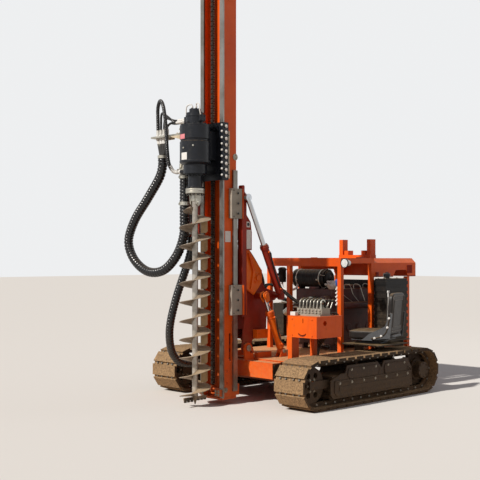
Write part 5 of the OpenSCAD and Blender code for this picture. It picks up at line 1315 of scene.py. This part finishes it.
class RIG_OT_console(bpy.types.Operator):
    """Dresses the console: lever knobs, valve fittings, pipes, a junction box, welded seams, bolts and a handle rim"""
    bl_idname = "rig.console"
    bl_label = "Console trim"

    def execute(self, context):
        knobs, unions, pipes, lumps, trims = heaps(5)
        step = (CONSOLE_W - 0.060) / LEVERS
        top = CONSOLE_TOP

        def at(back, y, up):
            """A place so far behind the console's front and above its top."""
            return CONSOLE_FRONT - back, y, top + up

        ball = np.radians(np.linspace(-90, 90, 11))
        for k in range(LEVERS):
            y = CONSOLE_Y + 0.030 + step * (k + 0.5)
            profile = np.column_stack([0.018 * np.sin(ball), np.maximum(0.018 * np.cos(ball), 0.001)])
            knobs.lathe(at(0.320, y, 0.150), (-0.46, 0, 0.89), profile, 16)
            knobs.lathe(at(0.266, y, 0.048), (-0.46, 0, 0.89),
                        [(-0.01, 0.013), (0.002, 0.013), (0.010, 0.009), (0.018, 0.012), (0.026, 0.008)], 14)
            unions.lathe(at(0.130, y, 0.075), UP, [(0, 0.014), (0.016, 0.014), (0.018, 0.011), (0.034, 0.011)], 6)
            for back, up, high in ((0.225, 0.097, 0.010), (0.165, 0.089, 0.006)):
                unions.disc(at(back, y, up), UP, 0.009, high, 6)
            for z in (0.034, 0.060):
                lumps.stud(at(0.110, y, z), AHEAD, 0.012, 0.012, 0.014, 0.008, 6)
            inner = 0.560 + 0.018 * k
            lane = 0.225 + 0.016 * k
            route = [at(0.248, y, 0.030), at(0.300, y, 0.030), (0.350, y, top + 0.012), (0.318, y - 0.01, top - 0.060),
                     (0.310, (y + inner) / 2, top - 0.200), (0.280, inner, top - 0.330), (lane, inner, 0.500),
                     (lane, inner, 0.450)]
            pipes.pipe(route, 0.012, 0.007, 8)
        arches = Heap()
        for k in range(1, LEVERS):
            y = CONSOLE_Y + 0.030 + step * k
            route = [at(0.128, y, 0.075), at(0.126, y, 0.118), at(0.136, y, 0.150), at(0.166, y, 0.172),
                     at(0.200, y, 0.160), at(0.218, y, 0.125), at(0.222, y, 0.075)]
            arches.pipe(route, 0.008, 0.0105, 12)
            for back in (0.128, 0.222):
                arches.stud(at(back, y, 0.072), UP, 0.015, 0.016, 0.020, 0.012, 6)
        arches.make("valve_arches", "tank_black", smooth=True)
        for k in range(LEVERS + 1):
            y = CONSOLE_Y + 0.030 + step * k
            lumps.box(at(0.242, y - 0.0032, 0.022), at(0.113, y + 0.0032, 0.080))
        for y in (CONSOLE_Y + 0.046, CONSOLE_Y + CONSOLE_W - 0.046):
            for z in (0.034, 0.063):
                tie = [(CONSOLE_FRONT - 0.235 + 0.110 * q, y, top + z) for q in (0, 1)]
                bolts(lumps, tie, (0, 1 if y > 0.8 else -1, 0), 0.008, 0.008)
        knobs.make("lever_knobs", "tank_black", smooth=True)
        unions.make("valve_unions", "zinc")
        lumps.make("valve_plugs", "block_grey")
        pipes.make("valve_pipes", "tank_black", smooth=True)

        box = Heap().box((0.682, 0.632, top + 0.0005), (0.732, 0.700, top + 0.040))
        box.make("junction_box", "white_part", bevel=0.004)
        x1, y0, y1 = CONSOLE_FRONT, CONSOLE_Y, CONSOLE_Y + CONSOLE_W
        for a, b in (((x1, y0), (x1, y1)), ((x1, y1), (x1 - 0.400, y1)), ((x1 - 0.400, y0), (x1, y0))):
            for z in (top - 0.003, top - 0.220 + 0.003):
                weld(trims, (a[0], a[1], z), (b[0], b[1], z), 0.003)
        for x in (x1 - 0.055, x1 - 0.375):
            weld_loop(trims, frame_corners(x - 0.03, x + 0.03, y0 - 0.001, y0 + 0.056, 0.450), 0.004)
        for y in (y0 + 0.06, y1 - 0.06):
            bolts(trims, [(x1, y, top - 0.030), (x1, y, top - 0.195)], AHEAD, 0.007, 0.005)
        trims.make("console_welds", "red_enamel", smooth=True)
        bow = around((x1 + 0.001, (y0 + y1) / 2, top - 0.125), 0.080, np.radians(np.linspace(232, 308, 12)), 0)
        # The handle rim takes the darker copy of the enamel: painted shade
        Heap().tube(bow, 0.0028, 8).make("handle_rim", "shaded_enamel", smooth=True)
        return {"FINISHED"}


# ---------------------------------------------------------------- engine bay

def belt_loop(centres, radii, count):
    """The loop a belt takes round wheels: in each direction n, the point c + r n of the wheel that reaches
    farthest, the one with the greatest c.n + r."""
    angle = np.linspace(0, TAU, count)
    n = np.column_stack([np.cos(angle), np.sin(angle)])
    best = np.argmax(n @ centres.T + radii, axis=1)
    return centres[best] + radii[best, None] * n


class RIG_OT_engine(bpy.types.Operator):
    """Dresses the engine bay: air cleaner rings, pipes, filters, belt drive, covers, tanks, lamp and hood"""
    bl_idname = "rig.engine"
    bl_label = "Engine bay trim"

    def execute(self, context):
        self.cleaner()
        self.block()
        self.tanks()
        self.frame()
        return {"FINISHED"}

    def cleaner(self):
        """Rings and cap of the air cleaner, the pre-cleaner beside it and the pipe that joins them."""
        x, z, r = -0.470, 1.275, 0.105
        rings, dark, white, clips = heaps(4)
        leg = np.array([(0.040, 1.186), (0.052, 1.186), (0.112, 1.262), (0.106, 1.268)])
        for y in (-0.322, -0.262, 0.082):
            band(rings, (x, y, z), LEFT, r - 0.004, r + 0.0035, 0.012, 48)
        for s in SIDES:
            for y in (-0.250, 0.060):
                rings.slab(leg * (s, 1) + (x, 0), y - 0.012, y + 0.012)
        rings.make("cleaner_bands", "zinc")
        dark.lathe((x, 0.170, z), LEFT,
                   [(0, 0.080), (0.006, 0.080), (0.010, 0.060), (0.010, 0.030), (0.022, 0.026), (0.026, 0.010)], 40)
        dark.lathe((x, -0.330, z), RIGHT, [(0, 0.100), (0.006, 0.092), (0.010, 0.040), (0.012, 0.010)], 40)
        for y in np.linspace(-0.22, 0.05, 6):
            band(dark, (x, y, z), LEFT, r - 0.004, r + 0.0018, 0.006, 48)
        dark.lathe((-0.360, -0.470, 1.222), UP, [(0, 0.036), (0.004, 0.047), (0.140, 0.047), (0.146, 0.052),
                                                 (0.160, 0.052), (0.178, 0.034), (0.182, 0.010)], 32)
        dark.box((-0.368, -0.514, 1.300), (-0.230, -0.506, 1.330))
        dark.make("pre_cleaner", "tank_black", smooth=True)
        for angle in (20, 110, 200, 290):
            a = math.radians(angle)
            out = np.array([math.cos(a), 0, math.sin(a)])
            place = np.array([x, 0.104, z]) + out * 0.111
            clips.tube(np.array([place, place + out * 0.010 + (0, 0.02, 0), place + (0, 0.05, 0) - out * 0.006,
                                 place + (0, 0.068, 0) - out * 0.018]), 0.003, 6)
        clips.make("cleaner_clips", "zinc", smooth=True)
        route = [(-0.360, -0.470, 1.224), (-0.360, -0.470, 1.190), (-0.360, -0.462, 1.158), (-0.362, -0.430, 1.138),
                 (-0.370, -0.360, 1.134), (-0.380, -0.300, 1.140), (-0.392, -0.266, 1.166), (-0.400, -0.256, 1.205)]
        white.pipe(route, 0.008, 0.013, 14)
        route = [(-0.470, 0.345, 1.150), (-0.450, 0.352, 1.210), (-0.410, 0.372, 1.262), (-0.360, 0.420, 1.292),
                 (-0.300, 0.462, 1.300), (-0.262, 0.480, 1.262), (-0.258, 0.480, 1.200)]
        white.pipe(route, 0.008, 0.011, 12)
        for k in range(5):
            base = (-0.262, 0.455, 0.975 + 0.043 * k)
            white.lathe(base, UP, [(0, 0.012), (0.004, 0.020), (0.014, 0.020), (0.018, 0.013), (0.043, 0.013)], 14)
            white.lathe((-0.262, 0.455, 0.990 + 0.043 * k), (1, 0.4, 0), [(0, 0.010), (0.034, 0.010), (0.036, 0.013),
                                                                          (0.048, 0.013)], 6)
        white.disc((-0.258, 0.480, 1.196), DOWN, 0.014, 0.030, 6)
        for y, z in ((0.270, 1.200), (0.300, 1.232), (0.322, 1.196)):
            white.lathe((-0.330, y, z), (1, 0.1, 0.2), [(0, 0.016), (0.018, 0.016), (0.020, 0.012), (0.050, 0.012),
                                                        (0.052, 0.015), (0.064, 0.015)], 6)
        white.disc((-0.400, 0.300, 1.205), AHEAD, 0.050, 0.075, 20)
        white.make("bay_pipes", "white_part", smooth=True)
        blue = Heap().lathe((-0.262, 0.452, 1.200), (0.1, 0, 1),
                            [(0, 0.016), (0.010, 0.020), (0.066, 0.020), (0.076, 0.012)], 18)
        blue.make("blue_sensor", "blue_cap", smooth=True)
        post = Heap().box((-0.272, 0.440, 0.560), (-0.252, 0.470, 0.980))
        post.make("manifold_stand", "tank_black", bevel=0.002)

    def block(self):
        """Covers, manifold, filters, pulleys and belt on the engine block."""
        cast, bright, belt = heaps(3)
        front, top = -0.400, 1.150
        for k in range(4):
            x = -1.130 + 0.180 * k
            cast.box((x, -0.110, top), (x + 0.160, 0.110, top + 0.036))
            bolts(bright, [(x + 0.080, 0, top + 0.036)], UP, 0.012)
            for s in SIDES:
                cast.box((x + 0.030, s * 0.280, 0.930), (x + 0.130, s * 0.322, 1.000))
                cast.stud((x + 0.080, s * 0.280, 0.700), (0, s, 0), 0.048, 0.006, 0.008, 0.040, 20)
            lead = [(x + 0.08, 0.210, top), (x + 0.08, 0.215, top + 0.05), (x + 0.06, 0.280, top + 0.04),
                    (x + 0.04, 0.310, top - 0.06), (-1.050 + 0.120 * k, 0.330, 1.003)]
            bright.pipe(lead, 0.015, 0.0045, 6)
        cast.lathe((-1.140, 0.350, 0.965), AHEAD, [(0, 0.030), (0.004, 0.040), (0.640, 0.040), (0.644, 0.030)], 20)
        cast.box((-1.230, -0.286, 0.560), (-0.410, 0.286, 0.600))
        cast.lathe((front, 0, 0.760), AHEAD, [(0, 0.150), (0.012, 0.150), (0.016, 0.120), (0.030, 0.110)], 32)
        cast.lathe((front, 0.195, 1.010), AHEAD, [(0, 0.062), (0.008, 0.068), (0.090, 0.068), (0.098, 0.050)], 24)
        cast.lathe((front, 0, 1.000), AHEAD, [(0, 0.075), (0.040, 0.060), (0.050, 0.040)], 24)
        cast.make("engine_castings", "engine_maroon", bevel=0.003)
        groove = [(0, 0.8), (0.004, 1.0), (0.008, 0.84), (0.012, 0.84), (0.016, 1.0), (0.020, 0.84), (0.024, 0.84),
                  (0.028, 1.0), (0.032, 0.8)]
        wheels = ((0.0, 0.760, 0.085, 0.032), (0.195, 1.010, 0.036, 0.100), (0.0, 1.000, 0.062, 0.052))
        for y, z, r, out in wheels:
            bright.lathe((front + out, y, z), AHEAD, [(d, r * f) for d, f in groove], 32)
            bright.disc((front + out + 0.032, y, z), AHEAD, 0.018, 0.012, 6)
        centre, size = np.array([w[:2] for w in wheels]), np.array([w[2] * 1.02 for w in wheels])
        path = np.column_stack([np.full(97, front + 0.062), belt_loop(centre, size, 97)])
        belt.sweep(path, [(-0.006, -0.004), (0.006, -0.004), (0.006, 0.004), (-0.006, 0.004)], up=AHEAD)
        belt.make("fan_belt", "rubber")
        bright.lathe((-0.330, -0.395, 0.856), (0, 0.82, 0.57),
                     [(0, 0.030), (0.006, 0.042), (0.110, 0.042), (0.116, 0.034), (0.128, 0.030)], 24)
        bright.tube(np.array([(-0.330, -0.330, 0.905), (-0.372, -0.290, 0.930), (-0.402, -0.262, 0.930)]), 0.014, 10)
        bright.rod((-0.300, -0.416, 0.996), (-0.300, -0.234, 0.966), 0.011, 12, 8)
        bright.tube(np.array([(-0.300, -0.240, 0.967), (-0.360, -0.240, 0.967), (-0.402, -0.240, 0.967)]), 0.010, 10)
        bright.make("engine_bright_parts", "zinc")
        fins = Heap()
        for z in np.linspace(0.50, 1.20, 48):
            fins.box((-1.402, -0.400, z), (-1.388, 0.400, z + 0.004))
        for y in (-0.425, 0.405):
            fins.box((-1.400, y, 0.470), (-1.372, y + 0.020, 1.225))
        band(fins, (-1.372, 0, 0.850), AHEAD, 0.290, 0.305, 0.060, 48)
        fins.box((-1.398, -0.400, 1.205), (-1.372, 0.400, 1.225))
        fins.make("cooler_fins", "tank_black")

    def tanks(self):
        """Caps, straps, gauge and drain of the two tanks."""
        caps, straps, gauge = heaps(3)
        for x, y, z, r in ((-0.900, 0.664, 1.317, 0.036), (-0.620, -0.664, 0.996, 0.034)):
            caps.lathe((x, y, z), UP, [(-0.012, r * 1.12), (0.0, r * 1.18), (0.014, r * 1.18), (0.020, r * 1.05),
                                       (0.021, r * 0.4), (0.030, r * 0.35), (0.032, r * 0.1)], 24)
            tether = [(x + r, y, z - 0.02), (x + 0.06, y + 0.02, z - 0.04), (x + 0.07, y, z - 0.01),
                      (x + 0.03, y - 0.01, z + 0.022)]
            straps.pipe(tether, 0.006, 0.0022, 6)
        for x in (-1.060, -0.640):
            straps.box((x, -0.753, 0.573), (x + 0.028, -0.750, 0.963))
            straps.box((x, -0.753, 0.960), (x + 0.028, -0.577, 0.9635))
            bolts(straps, [(x + 0.014, -0.753, 0.600)], RIGHT, 0.009)
        for k in range(4):
            bolts(straps, [(-1.165 + 0.120 * k, y, 1.275) for y in (0.615, 0.713)], UP, 0.007, 0.006)
        straps.stud((-0.985, 0.7505, 0.640), LEFT, 0.016, 0.010, 0.012, 0.011, 6)
        gauge.rod((-0.800, 0.758, 0.720), (-0.800, 0.758, 1.120), 0.009, 12, 6)
        for z in (0.700, 1.116):
            gauge.box((-0.814, 0.749, z), (-0.786, 0.768, z + 0.024))
        caps.make("tank_caps", "head_black", slot="black_parts")
        straps.make("tank_straps", "bare_bolt")
        gauge.make("level_gauge", "white_part", bevel=0.001)

    def frame(self):
        """Lamp rim, lens ribs and wire, hood hinges, louvres and latches, rest pads and frame welds."""
        lamp, lens, hood, pads, beads = heaps(5)
        at = np.array([-0.160, 0.640, 1.455])
        band(lamp, at, AHEAD, 0.046, 0.0535, 0.012, 40)
        lamp.lathe(at - (0.076, 0, 0), AHEAD, [(0, 0.012), (0.006, 0.026), (0.010, 0.031)], 24)
        lamp.disc(at + (-0.030, 0, 0.045), UP, 0.008, 0.010, 6)
        lamp.make("lamp_rim", "head_black", slot="black_parts")
        for k in range(-3, 4):
            half = math.sqrt(max(0.0, 0.044 ** 2 - (0.0125 * k) ** 2))
            lens.rod(at + (0.009, 0.0125 * k, -half), at + (0.009, 0.0125 * k, half), 0.0022, 6, 6)
        lens.make("lens_ribs", "clear_lens", smooth=True)
        for s in SIDES:
            for k in range(7):
                x = -1.560 + 0.016 * k
                hood.slab([(x, 1.330), (x + 0.006, 1.330), (x + 0.006, 1.430), (x, 1.430)], s * 0.560, s * 0.566)
            for x in (-0.880, -1.080):
                hood.box((x, s * 0.560, 1.302), (x + 0.050, s * 0.568, 1.350))
                hood.stud((x + 0.025, s * 0.568, 1.335), (0, s, 0), 0.012, 0.006, 0.008, 0.008, 16)
            for x0, x1 in ((-1.636, -1.485), (-1.165, -0.806)):
                hood.box((x0, s * 0.5595, 1.2925), (x1, s * 0.5635, 1.3025))
        for y in (-0.35, 0.35):
            hood.rod((-0.806, y - 0.05, 1.512), (-0.806, y + 0.05, 1.512), 0.009, 12, 6)
            hood.box((-0.860, y - 0.045, 1.5095), (-0.808, y + 0.045, 1.5135))
        # The hood fittings take the darker copy of the enamel: painted shade
        hood.make("hood_fittings", "shaded_enamel", bevel=0.001)
        for s in SIDES:
            pads.box((-1.258, s * 0.102, 1.6025), (-1.162, s * 0.158, 1.6040))
        for y in (0.510, 0.560, -0.245, -0.195, -0.560, -0.510):
            for z in (1.418, 0.450):
                weld(beads, (-0.252 + 0.012, y, z), (-0.188, y, z), 0.004)
        for s in SIDES:
            weld(beads, (-0.250, s * 0.511, 1.452), (-0.250, s * 0.559, 1.452), 0.004)
            weld(beads, (-1.270, s * 0.185, 1.5515), (-1.150, s * 0.185, 1.5515), 0.004)
        for z in (1.511, 1.419):
            weld(beads, (-0.192, -0.558, z), (-0.192, 0.558, z), 0.0025)
        beads.make("bay_welds", "red_enamel", smooth=True)
        pads.make("rest_pads", "rubber", bevel=0.001)


# ---------------------------------------------------------------- panel and registration

OPERATORS = ["stage", "hoses", "mast", "head", "auger", "undercarriage", "carrier", "seat", "console", "engine"]


class RIG_PT_panel(bpy.types.Panel):
    """Lists the rig's settings and the operators that make its pieces"""
    bl_label = "Crawler auger rig"
    bl_idname = "RIG_PT_panel"
    bl_space_type = "VIEW_3D"
    bl_region_type = "UI"
    bl_category = "Rig"

    def draw(self, context):
        layout = self.layout
        for group, names in ((context.scene.rig_hoses, ("loop", "supply", "line", "turn")),
                             (context.scene.rig_paint, ("bolt", "weld")),
                             (context.scene.rig_stage, ("floor",))):
            for name in names:
                layout.prop(group, name)
        for name in OPERATORS:
            layout.operator("rig." + name)


SETTINGS = {"rig_hoses": RigHoseSettings, "rig_paint": RigPaintSettings, "rig_stage": RigStageSettings}
OPERATOR_CLASSES = [RIG_OT_stage, RIG_OT_hoses, RIG_OT_mast, RIG_OT_head, RIG_OT_auger, RIG_OT_undercarriage,
                    RIG_OT_carrier, RIG_OT_seat, RIG_OT_console, RIG_OT_engine]


def register():
    """Registers the settings, the operators and the panel."""
    for name, group in SETTINGS.items():
        bpy.utils.register_class(group)
        setattr(bpy.types.Scene, name, PointerProperty(type=group))
    for operator in OPERATOR_CLASSES + [RIG_PT_panel]:
        bpy.utils.register_class(operator)


def unregister():
    """Takes them out again, last first."""
    for operator in [RIG_PT_panel] + OPERATOR_CLASSES[::-1]:
        bpy.utils.unregister_class(operator)
    for name, group in SETTINGS.items():
        delattr(bpy.types.Scene, name)
        bpy.utils.unregister_class(group)


def main():
    """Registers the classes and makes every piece."""
    register()
    dress_nodes()
    for name in OPERATORS:
        result = getattr(bpy.ops.rig, name)()
        if "FINISHED" not in result:
            raise RuntimeError("operator rig.%s did not finish" % name)


if __name__ == "__main__":
    main()
